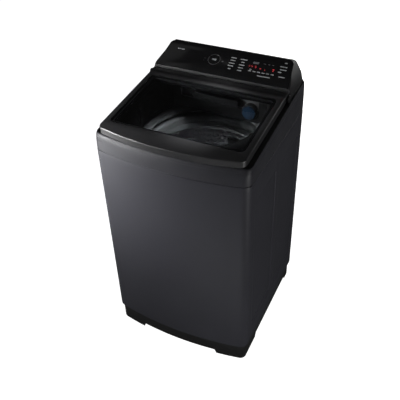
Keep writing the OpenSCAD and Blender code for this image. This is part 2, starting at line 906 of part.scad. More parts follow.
// Bellows: a tube whose wall swells and narrows
module sump_bellows() {
    z0 = pump_top_z;
    z1 = tub_floor_z - sump_drop - clear_gap;
    folds = 8;
    fold_depth = 6;
    step = (z1 - z0) / folds / 2;
    color(rubber) translate([sump_x, sump_y, 0]) rotate_extrude() polygon(concat(
        [for (i = [0:2 * folds]) [sump_pipe_r + 2 + fold_depth * (i % 2), z0 + i * step]],
        [for (i = [2 * folds:-1:0]) [sump_pipe_r - 1 + fold_depth * (i % 2), z0 + i * step]]));
}

// ---- Tub, hung on the rods ----

rim_w = 9;
cup_r = 24;
sump_drop = 25;
lug_t = 8;
lug_half_w = 22;
web_t = 6;
web_drop = 26;

module tub_arm() {
    reach = sqrt(pow(rod_x, 2) + pow(rod_y, 2));
    web_end = reach - 41;
    block([tub_r + 1, -lug_half_w, lug_z], [reach, lug_half_w, lug_z + lug_t]);
    block([tub_r + 1, -lug_half_w, lug_z - web_drop], [web_end, web_t - lug_half_w, lug_z + lug_t]);
    block([tub_r + 1, lug_half_w - web_t, lug_z - web_drop], [web_end, lug_half_w, lug_z + lug_t]);
    translate([reach, 0, lug_z]) cylinder(r = cup_r, h = lug_t);
}

module outer_tub() {
    color(light_grey) difference() {
        union() {
            rotate_extrude($fn = 96) polygon([
                [26, tub_floor_z], [tub_r + tub_wall, tub_floor_z],
                [tub_r + tub_wall, tub_rim_z - 8], [tub_r + rim_w, tub_rim_z - 8],
                [tub_r + rim_w, tub_rim_z], [tub_r, tub_rim_z], [tub_r, tub_floor_z + 6],
                [34, tub_floor_z + 6], [34, tub_floor_z + 12], [26, tub_floor_z + 12]]);
            for (s = [-1, 1], t = [-1, 1])
                rotate([0, 0, atan2(t * rod_y, s * rod_x)]) tub_arm();
            for (i = [0:7]) rotate([0, 0, 45 * i + 10])
                block([110, -2, tub_floor_z - 12], [tub_r, 2, tub_floor_z]);
            translate([sump_x, sump_y, tub_floor_z - sump_drop]) cylinder(r = sump_pipe_r, h = sump_drop);
        }
        each_rod() cylinder(r = rod_r + 3, h = 500);
        translate([sump_x, sump_y, 0]) cylinder(r = sump_pipe_r - 3, h = 300);
    }
}

module tub_ring() {
    color(light_grey) rotate_extrude($fn = 96) polygon([
        [tub_r + rim_w, tub_rim_z], [tub_r + rim_w, tub_rim_z + 4], [tub_r - 4, tub_rim_z + 14],
        [tub_r - 12, tub_rim_z + 15], [balance_r + 10, tub_rim_z - 4], [balance_r + 9, tub_rim_z - 8],
        [balance_r + 12, tub_rim_z - 8], [tub_r - 12, tub_rim_z + 11], [tub_r - 6, tub_rim_z]]);
}

module damper_cups() {
    cup_h = 46;
    cup_t = 3;
    cup_roof = 6;
    color(black) each_rod() difference() {
        translate([0, 0, lug_z - cup_h]) cylinder(r = cup_r, h = cup_h);
        translate([0, 0, lug_z - cup_h - 1]) cylinder(r = cup_r - cup_t, h = cup_h - cup_roof + 1);
        cylinder(r = rod_r + running_gap, h = 500);
    }
}

module gearcase() {
    plate_r = 95;
    plate_t = 6;
    bolt_circle_r = 80;
    color(zinc) difference() {
        union() {
            tube(gearcase_r, bearing_r, gearcase_z, tub_floor_z - plate_t);
            tube(plate_r, bearing_r, tub_floor_z - plate_t, tub_floor_z);
        }
        for (i = [0:5]) rotate([0, 0, 60 * i])
            translate([bolt_circle_r, 0, tub_floor_z - plate_t - 2]) cylinder(r = 4, h = plate_t + 4);
    }
}

module drive_bracket() {
    z = tub_floor_z - 24;
    half_len = 150;
    half_d = 60;
    flange_t = 6;
    flange_h = 18;
    color(zinc) difference() {
        union() {
            block([-half_len, -half_d, z], [half_len, flange_t - half_d, z + flange_h]);
            block([-half_len, half_d - flange_t, z], [half_len, half_d, z + flange_h]);
            block([-half_len, -half_d, z], [half_len, half_d, z + 2.5]);
            for (x = [-140, 140], y = [-50, 50])
                translate([x, y, z]) cylinder(r = 7, h = 12);
        }
        translate([0, 0, z - 1]) cylinder(r = gearcase_r + running_gap, h = 30);
        for (s = [-1, 1]) translate([s * 120, 0, z - 1]) cylinder(r = 12, h = 30);
    }
}

module bearings() {
    bearing_h = 14;
    color(steel) for (z = [gearcase_z + 4, tub_floor_z - 4 - bearing_h])
        tube(bearing_r, spin_r + running_gap, z, z + bearing_h);
}

module shaft_seal() {
    color(rubber) tube(26, spin_r + running_gap, tub_floor_z, tub_floor_z + 12);
}

module stator() {
    color(copper) difference() {
        union() {
            tube(80, gearcase_r, stator_z + 8, stator_z + 26);
            for (i = [0:stator_poles - 1]) rotate([0, 0, 360 * i / stator_poles]) {
                block([78, -5, stator_z + 6], [100, 5, stator_z + 28]);
                block([99, -9, stator_z + 4], [107, 9, stator_z + 30]);
            }
        }
        for (i = [0:5]) rotate([0, 0, 60 * i])
            translate([62, 0, stator_z]) cylinder(r = 5, h = 40);
    }
}

module clutch_actuator() {
    color(black) {
        block([-113, 102, tub_floor_z - 52], [-67, 138, tub_floor_z - 12]);
        block([-103, 108, tub_floor_z - 12], [-77, 132, tub_floor_z]);
    }
}

// ---- Drum ----

module drum_basket() {
    r_out = drum_r + drum_wall;
    pitch = (drum_rim_z - drum_floor_z - 120) / drum_hole_rows;
    color(steel) difference() {
        rotate_extrude($fn = 96) polygon([
            [40, drum_floor_z], [r_out - 12, drum_floor_z], [r_out, drum_floor_z + 12],
            [r_out, drum_rim_z], [drum_r, drum_rim_z], [drum_r, drum_floor_z + 13],
            [r_out - 13, drum_floor_z + 2], [40, drum_floor_z + 2]]);
        for (j = [0:drum_hole_rows - 1], i = [0:drum_hole_columns - 1])
            rotate([0, 0, 360 * (i + 0.5 * (j % 2)) / drum_hole_columns])
                translate([drum_r - 5, 0, drum_floor_z + 70 + pitch * j]) rotate([0, 90, 0])
                    cylinder(r = 4, h = 12, $fn = 24);
    }
}

module drum_flange() {
    color(zinc) difference() {
        union() {
            translate([0, 0, drum_floor_z - 22]) cylinder(r = 38, h = 22);
            for (i = [0:2]) rotate([0, 0, 120 * i + 90])
                block([0, -18, drum_floor_z - 10], [200, 18, drum_floor_z]);
        }
        translate([0, 0, drum_floor_z - 30]) cylinder(r = spin_r, h = 60);
    }
}

module balance_ring() {
    color(mid_grey) rotate_extrude($fn = 96) polygon(concat(
        [[balance_r + 6, drum_rim_z], [drum_r + 3, drum_rim_z], [drum_r + 3, drum_top_z - 5],
         [drum_r - 2, drum_top_z]],
        arc(balance_r + 8, drum_top_z - 8, 8, 90, 180, 5), [[balance_r, drum_rim_z + 10]]));
}

module lint_filters() {
    color(light_grey) for (a = [72, 252]) rotate([0, 0, a]) difference() {
        rotate_extrude(angle = 20) polygon([[drum_r - 14, 470], [drum_r - clear_gap, 450],
            [drum_r - clear_gap, 640], [drum_r - 10, 640]]);
        rotate([0, 0, 2]) rotate_extrude(angle = 16) polygon([[drum_r - 20, 490], [drum_r - 2, 490],
            [drum_r - 2, 620], [drum_r - 20, 620]]);
    }
}

module spin_shaft() {
    color(steel) tube(spin_r, shaft_r + running_gap, rotor_z + 12, drum_floor_z + 3);
}

// ---- Pulsator and rotor ----

module pulsator() {
    z = drum_floor_z + 7;
    color(light_grey) difference() {
        union() {
            rotate_extrude($fn = 96) polygon([
                [shaft_r, z], [34, z], [60, z + 6], [pulsator_r - 20, z + 8], [pulsator_r, z + 22],
                [pulsator_r - 3, z + 24], [pulsator_r - 24, z + 12], [64, z + 11], [40, z + 30],
                [shaft_r, z + 34]]);
            for (i = [0:pulsator_vanes - 1]) rotate([0, 0, 360 * i / pulsator_vanes])
                translate([36, 0, 0]) rotate([90, 0, 90]) linear_extrude(pulsator_r - 58)
                    polygon(concat([[-20, z + 8]], arc(0, z + 8, 20, 180, 120, 3),
                        arc(0, z + 22, 12, 130, 50, 4), arc(0, z + 8, 20, 60, 0, 3)));
        }
        translate([0, 0, z - 1]) cylinder(r = shaft_r, h = 80);
        for (i = [0:pulsator_vanes - 1], x = [90:20:150])
            rotate([0, 0, 360 * (i + 0.5) / pulsator_vanes])
                translate([x, 0, z - 1]) cylinder(r = 3, h = 30, $fn = 24);
    }
}

module pulsator_cap() {
    color(mid_grey) translate([0, 0, drum_floor_z + 41]) cylinder(r1 = 26, r2 = 18, h = 7);
}

module drive_shaft() {
    color(steel) translate([0, 0, rotor_z - 10]) {
        cylinder(r = shaft_r, h = drum_floor_z + 41 - rotor_z + 10);
        cylinder(r = 14, h = 10);
    }
}

module rotor() {
    color(zinc) difference() {
        union() {
            difference() {
                translate([0, 0, rotor_z]) cylinder(r = rotor_r, h = 52);
                translate([0, 0, rotor_z + 4]) cylinder(r = rotor_r - 9, h = 60);
            }
            translate([0, 0, rotor_z]) cylinder(r = 24, h = 10);
        }
        translate([0, 0, rotor_z - 1]) cylinder(r = shaft_r + running_gap, h = 20);
        for (i = [0:7]) rotate([0, 0, 45 * i])
            translate([60, 0, rotor_z - 1]) cylinder(r = 14, h = 10);
    }
}

module clutch_coupling() {
    color(black) difference() {
        translate([0, 0, rotor_z + 12.5]) cylinder(r = 22, h = 12);
        translate([0, 0, rotor_z]) cylinder(r = spin_r + running_gap, h = 60);
    }
}

cabinet_shell();
rear_panel();
rear_service_cover();
base_frame();
base_guard();
corner_brackets();
suspension_rods();
suspension_springs();
top_skirt();
top_deck();
console_housing();
console_rear_cover();
control_fascia();
power_ring();
display_module();
control_board();
board_case();
dispenser_housing();
lid_switch();
hinge_brackets();
hinge_pins();
inlet_valve();
inlet_hose();
pressure_sensor();
pressure_tube();
drain_pump();
drain_outlet();
sump_bellows();
cord_gland();
panel_screws();
rear_feet();
foot_front_left();
foot_front_right();
outer_tub();
tub_ring();
damper_cups();
drive_bracket();
gearcase();
bearings();
shaft_seal();
stator();
clutch_actuator();
drum_basket();
drum_flange();
balance_ring();
lint_filters();
spin_shaft();
pulsator();
pulsator_cap();
drive_shaft();
rotor();
clutch_coupling();
lid_frame();
lid_inner_frame();
lid_glass();
lid_plunger();
power_button();
detergent_drawer();
softener_cap();
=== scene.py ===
"""Looks of a top load washing machine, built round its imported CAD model.

Meshes are worked out in millimetres in the CAD model's frame (+X right, -Y front, +Z up) and stored
in metres. Detailed pieces stand for the CAD nodes that show; the others keep their CAD shape and get
a procedural material.
"""

import math
import random

import bmesh
import bpy
from mathutils import Matrix, Vector, geometry


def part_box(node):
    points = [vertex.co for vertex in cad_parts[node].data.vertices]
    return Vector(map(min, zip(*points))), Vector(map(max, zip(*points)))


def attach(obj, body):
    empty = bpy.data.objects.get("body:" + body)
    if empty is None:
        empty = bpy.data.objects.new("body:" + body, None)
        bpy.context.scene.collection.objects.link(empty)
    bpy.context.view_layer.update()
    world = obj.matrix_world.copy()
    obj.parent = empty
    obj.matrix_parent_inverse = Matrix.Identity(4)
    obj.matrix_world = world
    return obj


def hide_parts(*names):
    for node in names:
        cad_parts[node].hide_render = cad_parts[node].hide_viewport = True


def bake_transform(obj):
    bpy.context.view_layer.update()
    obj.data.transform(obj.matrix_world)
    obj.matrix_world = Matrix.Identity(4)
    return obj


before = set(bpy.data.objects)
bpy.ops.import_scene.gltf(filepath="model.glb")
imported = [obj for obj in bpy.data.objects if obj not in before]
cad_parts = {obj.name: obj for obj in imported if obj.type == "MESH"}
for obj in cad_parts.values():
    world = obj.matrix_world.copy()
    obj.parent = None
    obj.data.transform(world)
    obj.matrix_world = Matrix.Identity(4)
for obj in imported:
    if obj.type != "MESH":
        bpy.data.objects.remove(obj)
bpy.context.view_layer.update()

MM = 0.001
UP = (0, 0, 1)
REARWARD = (0, 1, 0)


# ---- Sizes, from the frame where it gives them ----

def box_mm(node):
    """Lowest and highest corner of a CAD node, in millimetres."""
    lo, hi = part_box(node)
    return lo / MM, hi / MM


CAB_LO, CAB_HI = box_mm("cabinet_shell")
HALF_W = CAB_HI.x
REAR_Y = CAB_HI.y
FRONT_Y = CAB_LO.y
BOW = -REAR_Y - FRONT_Y               # how far the middle of the front stands out
BASE_H = CAB_LO.z
SEAM_Z = CAB_HI.z
FRONT_R = 32                          # corner radii of the cabinet
REAR_R = 20
SLOPE = math.radians(5.8)             # lid and top cover rise towards the rear
LID_TOP_Z = 926
LID_T = 25
LID_GAP = 2
SHELF_Z = LID_TOP_Z - (LID_T + LID_GAP) / math.cos(SLOPE)
LID_HALF_W = 250
LID_FRONT_Y = -278
LID_CORNER_Y = -248
LID_REAR_Y = 125
LID_CORNER_R = 22
HINGE_Y = LID_REAR_Y - LID_T / 2
WINDOW = (-223, -205, 223, 70)        # glass opening in the lid's plane: x0, y0, x1, y1
PANEL_SLOPE = math.radians(27.5)
PANEL_LEN = 115
PANEL_HALF_W = 245
CONSOLE_FRONT_Y = 128
CONSOLE_TOP_Z = 1000
PANEL_Z = CONSOLE_TOP_Z - PANEL_LEN * math.sin(PANEL_SLOPE)
THROAT_R = 215
BACK_WALL_Y = 120
DRUM_R = 222
DRUM_FLOOR_Z = box_mm("drum_basket")[0].z
DRUM_RIM_Z = box_mm("drum_basket")[1].z
DRUM_TOP_Z = box_mm("balance_ring")[1].z
BALANCE_R = 192


# ---- Geometry: a part is a list of points and a list of faces ----

def arc(x, y, r, start, end, n):
    """Points on an arc, angles in degrees."""
    angles = [math.radians(start + (end - start) * i / n) for i in range(n + 1)]
    return [(x + r * math.cos(t), y + r * math.sin(t)) for t in angles]


def around(n, start=0.0):
    """Cosine and sine of n even steps round a circle, from a start counted in steps."""
    angles = [2 * math.pi * (i + start) / n for i in range(n)]
    return [(math.cos(t), math.sin(t)) for t in angles]


def ease(t):
    """Smooth step from 0 to 1."""
    t = min(1, max(0, t))
    return t * t * (3 - 2 * t)


def bowed_front(x, inset):
    """How far forward the front stands at a place across it."""
    return FRONT_Y + BOW * (x / HALF_W) ** 2 + inset


def rim(side=0, front=0, rear=0, side_ys=(), rear_xs=(), fine=28):
    """Outline of the cabinet seen from above, anticlockwise from the front's left end."""
    w = HALF_W - side
    r = max(4, FRONT_R - max(side, front))
    q = max(4, REAR_R - max(side, rear))
    tilt = math.atan(2 * BOW * (w - r) / HALF_W ** 2)
    xs = w - r + r * math.sin(tilt)
    yc = bowed_front(xs, front) + r * math.cos(tilt)
    yr = REAR_Y - rear
    lean = math.degrees(tilt)
    points = [(xs * i / fine, bowed_front(xs * i / fine, front)) for i in range(-fine, fine + 1)]
    points += arc(w - r, yc, r, -90 + lean, 0, 12)[1:]
    points += [(w, y) for y in side_ys]
    points += arc(w - q, yr - q, q, 0, 90, 8)
    points += [(x, yr) for x in rear_xs]
    points += arc(-w + q, yr - q, q, 90, 180, 8)
    points += [(-w, y) for y in reversed(side_ys)]
    points += arc(-w + r, yc, r, 180, 270 - lean, 12)[:-1]
    return points


def lid_rim(inset=0):
    """Outline of the lid in its own plane, open along the hinge side."""
    fine = 24
    w = LID_HALF_W - inset
    r = max(2, LID_CORNER_R - inset)
    bow = LID_CORNER_Y - LID_FRONT_Y
    tilt = math.atan(2 * bow * (w - r) / LID_HALF_W ** 2)
    xs = w - r + r * math.sin(tilt)

    def front(x):
        return LID_FRONT_Y + bow * (x / LID_HALF_W) ** 2 + inset
    yc = front(xs) + r * math.cos(tilt)
    lean = math.degrees(tilt)
    points = [(-w, HINGE_Y), (-w, HINGE_Y - 120), (-w, HINGE_Y - 240)]
    points += arc(-w + r, yc, r, 180, 270 - lean, 10)
    points += [(xs * i / fine, front(xs * i / fine)) for i in range(-fine + 1, fine)]
    points += arc(w - r, yc, r, -90 + lean, 0, 10)
    points += [(w, HINGE_Y - 240), (w, HINGE_Y - 120), (w, HINGE_Y)]
    return points


def round_box(x0, y0, x1, y1, r, n=6):
    """Rectangle with round corners, anticlockwise from its lower right."""
    return (arc(x1 - r, y0 + r, r, -90, 0, n) + arc(x1 - r, y1 - r, r, 0, 90, n)
            + arc(x0 + r, y1 - r, r, 90, 180, n) + arc(x0 + r, y0 + r, r, 180, 270, n))


def at_z(points, z):
    return [(x, y, z) for x, y in points]


def on_lid(p):
    """From the lid's plane (y up the slope, z out of the top face) to the machine's frame."""
    x, y, z = p
    return (x, y * math.cos(SLOPE) - z * math.sin(SLOPE),
            LID_TOP_Z + y * math.sin(SLOPE) + z * math.cos(SLOPE))


def on_panel(p):
    """From the control panel's plane (y up the panel, z out of it) to the machine's frame."""
    x, y, z = p
    return (x, CONSOLE_FRONT_Y + y * math.cos(PANEL_SLOPE) - z * math.sin(PANEL_SLOPE),
            PANEL_Z + y * math.sin(PANEL_SLOPE) + z * math.cos(PANEL_SLOPE))


def shelf_z(y):
    """Height of the top cover's upper edge at a depth."""
    return SHELF_Z + y * math.tan(SLOPE)


def loft(rings, closed=True, cap_start=False, cap_end=False, loop=False, skip=None):
    """Skin through rings of points with equal counts. Each ring runs anticlockwise seen from the
    end that the rings run towards, so that faces look outwards."""
    n = len(rings[0])
    points = [p for ring in rings for p in ring]
    faces = []
    last = len(rings) if loop else len(rings) - 1
    for j in range(last):
        k = (j + 1) % len(rings)
        for i in range(n if closed else n - 1):
            m = (i + 1) % n
            if skip is None or not skip(rings[j][i], rings[j][m], rings[k][m]):
                faces.append((j * n + i, j * n + m, k * n + m, k * n + i))
    if cap_start:
        faces.append(tuple(range(n - 1, -1, -1)))
    if cap_end:
        faces.append(tuple(range((len(rings) - 1) * n, len(rings) * n)))
    return points, faces


def lathe(profile, n, axis=(0, 0)):
    """Turns (radius, height) points round the vertical axis. The profile is a closed loop that
    runs anticlockwise in the (radius, height) plane."""
    return loft([[(axis[0] + r * c, axis[1] + r * s, z) for r, z in profile] for c, s in around(n)],
                loop=True)


def prism(outline, z0, z1, edge=0.0, steps=3):
    """Upright solid with a given outline and rounded upper and lower edges."""
    angles = [math.radians(90 * i / steps) for i in range(steps + 1)] if edge else [math.pi / 2]
    ends = [(edge * (1 - math.sin(t)), edge * (1 - math.cos(t))) for t in angles]
    rings = [at_z(inset_outline(outline, inset), z0 + lift) for inset, lift in ends]
    rings += [at_z(inset_outline(outline, inset), z1 - lift) for inset, lift in reversed(ends)]
    return loft(rings, cap_start=True, cap_end=True)


def inset_outline(outline, d):
    """Moves each point of a closed anticlockwise outline inwards by d."""
    n = len(outline)
    result = []
    for i in range(n):
        ax, ay = outline[i - 1]
        bx, by = outline[i]
        cx, cy = outline[(i + 1) % n]
        u, v = Vector((bx - ax, by - ay)), Vector((cx - bx, cy - by))
        if u.length < 1e-6 or v.length < 1e-6:
            result.append((bx, by))
            continue
        u.normalize()
        v.normalize()
        nu, nv = Vector((-u.y, u.x)), Vector((-v.y, v.x))
        mid = nu + nv
        mid = mid / max(0.3, mid.dot(nu))
        result.append((bx + mid.x * d, by + mid.y * d))
    return result


def slab(a, b):
    """Plain box between two corners."""
    (x0, y0, z0), (x1, y1, z1) = a, b
    points = [(x, y, z) for z in (z0, z1) for x, y in ((x0, y0), (x1, y0), (x1, y1), (x0, y1))]
    return points, [(3, 2, 1, 0), (4, 5, 6, 7), (0, 1, 5, 4), (1, 2, 6, 5), (2, 3, 7, 6), (3, 0, 4, 7)]


def rod(start, end, r, n=8):
    """Straight round rod between two points, with flat ends."""
    a, b = Vector(start), Vector(end)
    turn = (b - a).to_track_quat("Z", "Y")
    rings = [[tuple(p + turn @ Vector((r * c, r * s, 0))) for c, s in around(n)] for p in (a, b)]
    return loft(rings, cap_start=True, cap_end=True)


def turned(profile, start, direction, n=48):
    """Solid of revolution about any line: profile is (distance along it, radius), from first to last."""
    turn = Vector(direction).to_track_quat("Z", "Y")
    base = Vector(start)
    rings = []
    for d, r in profile:
        r = max(r, 0.01)
        rings.append([tuple(base + turn @ Vector((r * c, r * s, d))) for c, s in around(n)])
    return loft(rings, cap_start=True, cap_end=True)


def joined(*parts):
    """One part made of several."""
    points, faces = [], []
    for p, f in parts:
        k = len(points)
        points += p
        faces += [tuple(i + k for i in face) for face in f]
    return points, faces


def moved(part, place):
    """The part with each point put through a function."""
    return [place(p) for p in part[0]], part[1]


def piece(name, part, body, material, replaces, bevel=0.0, angle=35, thickness=0.0,
          merge=False, even=True):
    """Makes a mesh piece that rides on a body, and hides the CAD nodes it stands for. A body given as
    (a, b, start, end) is not used: the piece is left where it is made, on no body. With a thickness it
    is an open skin that grows inwards. Edges sharper than the angle stay sharp."""
    points, faces = part
    mesh = bpy.data.meshes.new(name)
    mesh.from_pydata([(x * MM, y * MM, z * MM) for x, y, z in points], [], faces)
    mesh.validate()
    tidy(mesh, merge, not thickness)
    mesh.shade_smooth()
    mesh.set_sharp_from_angle(angle=math.radians(angle))
    mesh.materials.append(material)
    obj = bpy.data.objects.new(name, mesh)
    bpy.context.scene.collection.objects.link(obj)
    if thickness:
        skin = obj.modifiers.new("thickness", "SOLIDIFY")
        skin.thickness = thickness * MM
        skin.offset = -1
        skin.use_even_offset = even
    if bevel:
        edge = obj.modifiers.new("edges", "BEVEL")
        edge.width = bevel * MM
        edge.segments = 2
        edge.limit_method = "ANGLE"
        edge.angle_limit = math.radians(angle)
        edge.harden_normals = True
    if isinstance(body, str):
        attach(obj, body)
    else:
        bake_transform(obj)
    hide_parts(*replaces)


def tidy(mesh, merge, turn):
    """Merges points that lie on each other, or turns the faces of a closed shape outwards, if asked."""
    work = bmesh.new()
    work.from_mesh(mesh)
    if merge:
        bmesh.ops.remove_doubles(work, verts=work.verts, dist=0.00001)
    if turn:
        bmesh.ops.recalc_face_normals(work, faces=work.faces)
    work.to_mesh(mesh)
    work.free()


def plate(outer, holes, z0, z1, edge=0.0, hole_edge=0.0, lip=None, steps=4):
    """Flat plate with holes. Its upper outer edge is rounded by edge, the rims of its holes by
    hole_edge. lip = (width, depth) hangs a wall of that width round the underside."""
    points, faces = [], []

    def add(ring):
        start = len(points)
        points.extend(ring)
        return list(range(start, start + len(ring)))

    def skin(a, b):
        for i in range(len(a)):
            j = (i + 1) % len(a)
            faces.append((a[i], a[j], b[j], b[i]))

    def fill(loops, up):
        flat = [[Vector((points[i][0], points[i][1], 0)) for i in loop] for loop in loops]
        index = [i for loop in loops for i in loop]
        for tri in geometry.tessellate_polygon(flat):
            a, b, c = (Vector(points[index[k]][:2]) for k in tri)
            turn = (b - a).cross(c - a)
            if abs(turn) < 1e-9:
                continue
            face = tuple(index[k] for k in tri)
            faces.append(face if (turn > 0) == up else face[::-1])
    rings = [at_z(outer, z0)]
    if lip:
        inner = inset_outline(outer, lip[0])
        low_z, chamfer = z0 - lip[1], 0.8
        rings = [at_z(inner, z0), at_z(inner, low_z), at_z(inset_outline(outer, chamfer), low_z),
                 at_z(outer, low_z + chamfer)]
    if edge:
        for i in range(steps + 1):
            t = math.radians(90 * i / steps)
            rings.append(at_z(inset_outline(outer, edge * (1 - math.cos(t))), z1 - edge * (1 - math.sin(t))))
    else:
        rings.append(at_z(outer, z1))
    loops = [add(ring) for ring in rings]
    for a, b in zip(loops, loops[1:]):
        skin(a, b)
    low, top = [loops[0]], [loops[-1]]
    for hole in holes:
        back = list(reversed(hole))
        wall = [add(at_z(back, z0))]
        if hole_edge:
            for i in range(3):
                t = math.radians(45 * i)
                wide = list(reversed(inset_outline(hole, -hole_edge * (1 - math.cos(t)))))
                wall.append(add(at_z(wide, z1 - hole_edge * (1 - math.sin(t)))))
        else:
            wall.append(add(at_z(back, z1)))
        for a, b in zip(wall, wall[1:]):
            skin(a, b)
        low.append(wall[0])
        top.append(wall[-1])
    fill(low, False)
    fill(top, True)
    return points, faces


# ---- Materials ----

def node_tree(name):
    made = bpy.data.materials.new(name)
    made.use_nodes = True
    tree = made.node_tree
    shader = tree.nodes["Principled BSDF"]
    place = tree.nodes.new("ShaderNodeTexCoord").outputs["Object"]
    return made, tree, shader, place


def add_node(tree, kind, inputs):
    """Shader node whose inputs are given by name or number, as a socket to link or a constant."""
    made = tree.nodes.new("ShaderNode" + kind)
    for key, value in inputs.items():
        if isinstance(value, bpy.types.NodeSocket):
            tree.links.new(value, made.inputs[key])
        else:
            made.inputs[key].default_value = value
    return made


def noise(tree, place, scale, detail, rough=0.55, stretch=None):
    """Noise over the machine's frame, in periods per metre."""
    if stretch:
        place = add_node(tree, "Mapping", {"Scale": stretch, "Vector": place}).outputs["Vector"]
    inputs = {"Scale": scale, "Detail": detail, "Roughness": rough, "Vector": place}
    return add_node(tree, "TexNoise", inputs).outputs["Fac"]


def spread(tree, source, low, high):
    """Maps the middle half of a noise onto low to high."""
    inputs = {"From Min": 0.25, "From Max": 0.75, "To Min": low, "To Max": high, "Value": source}
    return add_node(tree, "MapRange", inputs).outputs["Result"]


def mottled(tree, source, colour, amount):
    """Colour that varies by a share of itself with a noise."""
    made = tree.nodes.new("ShaderNodeMix")
    made.data_type = "RGBA"
    made.inputs["A"].default_value = (*[c * (1 - amount) for c in colour], 1)
    made.inputs["B"].default_value = (*[c * (1 + amount) for c in colour], 1)
    tree.links.new(spread(tree, source, 0, 1), made.inputs["Factor"])
    return made.outputs["Result"]


def bumpy(tree, shader, height, depth, strength):
    """Bump of a depth in metres."""
    made = add_node(tree, "Bump", {"Strength": strength, "Distance": depth, "Height": height})
    tree.links.new(made.outputs["Normal"], shader.inputs["Normal"])


def surface(name, colour, cloud, grain, mottle, roughness, bump, specular):
    """Solid material: a soft cloud varies its colour and gloss, and a finer grain stands out of it.
    The cloud and grain are given as noise, roughness by its limits, bump as (depth, strength)."""
    made, tree, shader, place = node_tree(name)
    soft = noise(tree, place, *cloud)
    fine = noise(tree, place, *grain)
    tree.links.new(mottled(tree, soft, colour, mottle), shader.inputs["Base Color"])
    tree.links.new(spread(tree, soft, *roughness), shader.inputs["Roughness"])
    shader.inputs["Specular IOR Level"].default_value = specular
    bumpy(tree, shader, fine, *bump)
    return made


def paint(name, colour, roughness, peel, specular):
    """Baked enamel on sheet steel: orange peel, and a slightly uneven gloss."""
    return surface(name, colour, (7, 2), (420, 2), 0.06, (roughness * 0.92, roughness * 1.08),
                   (peel, 0.6), specular)


def plastic(name, colour, roughness, grain=0.00004, scale=900, specular=0.4):
    """Moulded plastic with a fine spark-eroded grain and slight scuffing."""
    return surface(name, colour, (16, 3), (scale, 2, 0.7), 0.08, (roughness * 0.88, roughness * 1.12),
                   (grain, 0.7), specular)


def gloss(name, colour, roughness):
    """Polished plastic: faint flow marks and wiping haze."""
    return surface(name, colour, (22, 4), (60, 1), 0.05, (roughness * 0.8, roughness * 1.3),
                   (0.00002, 0.5), 0.5)


def rubber(name, colour):
    """Dull rubber with dusty patches."""
    return surface(name, colour, (40, 4), (700, 3), 0.2, (0.62, 0.82), (0.00008, 0.6), 0.35)


def metal(name, colour, roughness, stretch, scale, depth=0.00001, aniso=0.0):
    """Bare metal with rolling or machining marks along one way."""
    made, tree, shader, place = node_tree(name)
    lines = noise(tree, place, scale, 3, 0.6, stretch)
    cloud = noise(tree, place, 12, 3)
    tree.links.new(mottled(tree, cloud, colour, 0.07), shader.inputs["Base Color"])
    tree.links.new(spread(tree, lines, roughness * 0.75, roughness * 1.3), shader.inputs["Roughness"])
    shader.inputs["Metallic"].default_value = 1
    shader.inputs["Anisotropic"].default_value = aniso
    bumpy(tree, shader, lines, depth, 0.6)
    return made


def galvanised(name, colour):
    """Zinc-coated sheet: spangle of flat crystals with their own shade."""
    made, tree, shader, place = node_tree(name)
    cells = add_node(tree, "TexVoronoi", {"Scale": 240, "Vector": place})
    grey = add_node(tree, "SeparateColor", {"Color": cells.outputs["Color"]})
    tree.links.new(mottled(tree, grey.outputs["Red"], colour, 0.05), shader.inputs["Base Color"])
    tree.links.new(spread(tree, grey.outputs["Green"], 0.4, 0.48), shader.inputs["Roughness"])
    shader.inputs["Metallic"].default_value = 0.9
    bumpy(tree, shader, noise(tree, place, 260, 2), 0.00002, 0.4)
    return made


def glass(name, tint, roughness):
    """Thin tinted glass: clear seen straight on, more of a mirror at a slant, with a faint wave."""
    made, tree, shader, place = node_tree(name)
    wave = noise(tree, place, 18, 1)
    haze = noise(tree, place, 45, 3)
    clear = add_node(tree, "BsdfTransparent", {})
    mix = add_node(tree, "MixShader", {})
    facing = add_node(tree, "LayerWeight", {"Blend": 0.5})
    curve = add_node(tree, "Math", {0: facing.outputs["Facing"], 1: 5})
    curve.operation = "POWER"
    mirror = add_node(tree, "Math", {0: curve.outputs["Value"], 1: 0.9, 2: 0.03})
    mirror.operation = "MULTIPLY_ADD"
    tree.links.new(mottled(tree, haze, tint, 0.02), clear.inputs["Color"])
    tree.links.new(mottled(tree, haze, (0.5, 0.5, 0.5), 0.05), shader.inputs["Base Color"])
    tree.links.new(spread(tree, wave, roughness * 0.6, roughness * 1.4), shader.inputs["Roughness"])
    shader.inputs["Metallic"].default_value = 1
    bumpy(tree, shader, wave, 0.000002, 0.2)
    tree.links.new(mirror.outputs["Value"], mix.inputs["Fac"])
    tree.links.new(clear.outputs["BSDF"], mix.inputs[1])
    tree.links.new(shader.outputs["BSDF"], mix.inputs[2])
    tree.links.new(mix.outputs["Shader"], tree.nodes["Material Output"].inputs["Surface"])
    return made


def glowing(name, colour, strength):
    """Lit marking with a slight unevenness behind the print."""
    made, tree, shader, place = node_tree(name)
    cloud = noise(tree, place, 400, 2)
    tree.links.new(mottled(tree, cloud, colour, 0.1), shader.inputs["Base Color"])
    tree.links.new(mottled(tree, cloud, colour, 0.1), shader.inputs["Emission Color"])
    shader.inputs["Emission Strength"].default_value = strength
    shader.inputs["Roughness"].default_value = 0.4
    return made


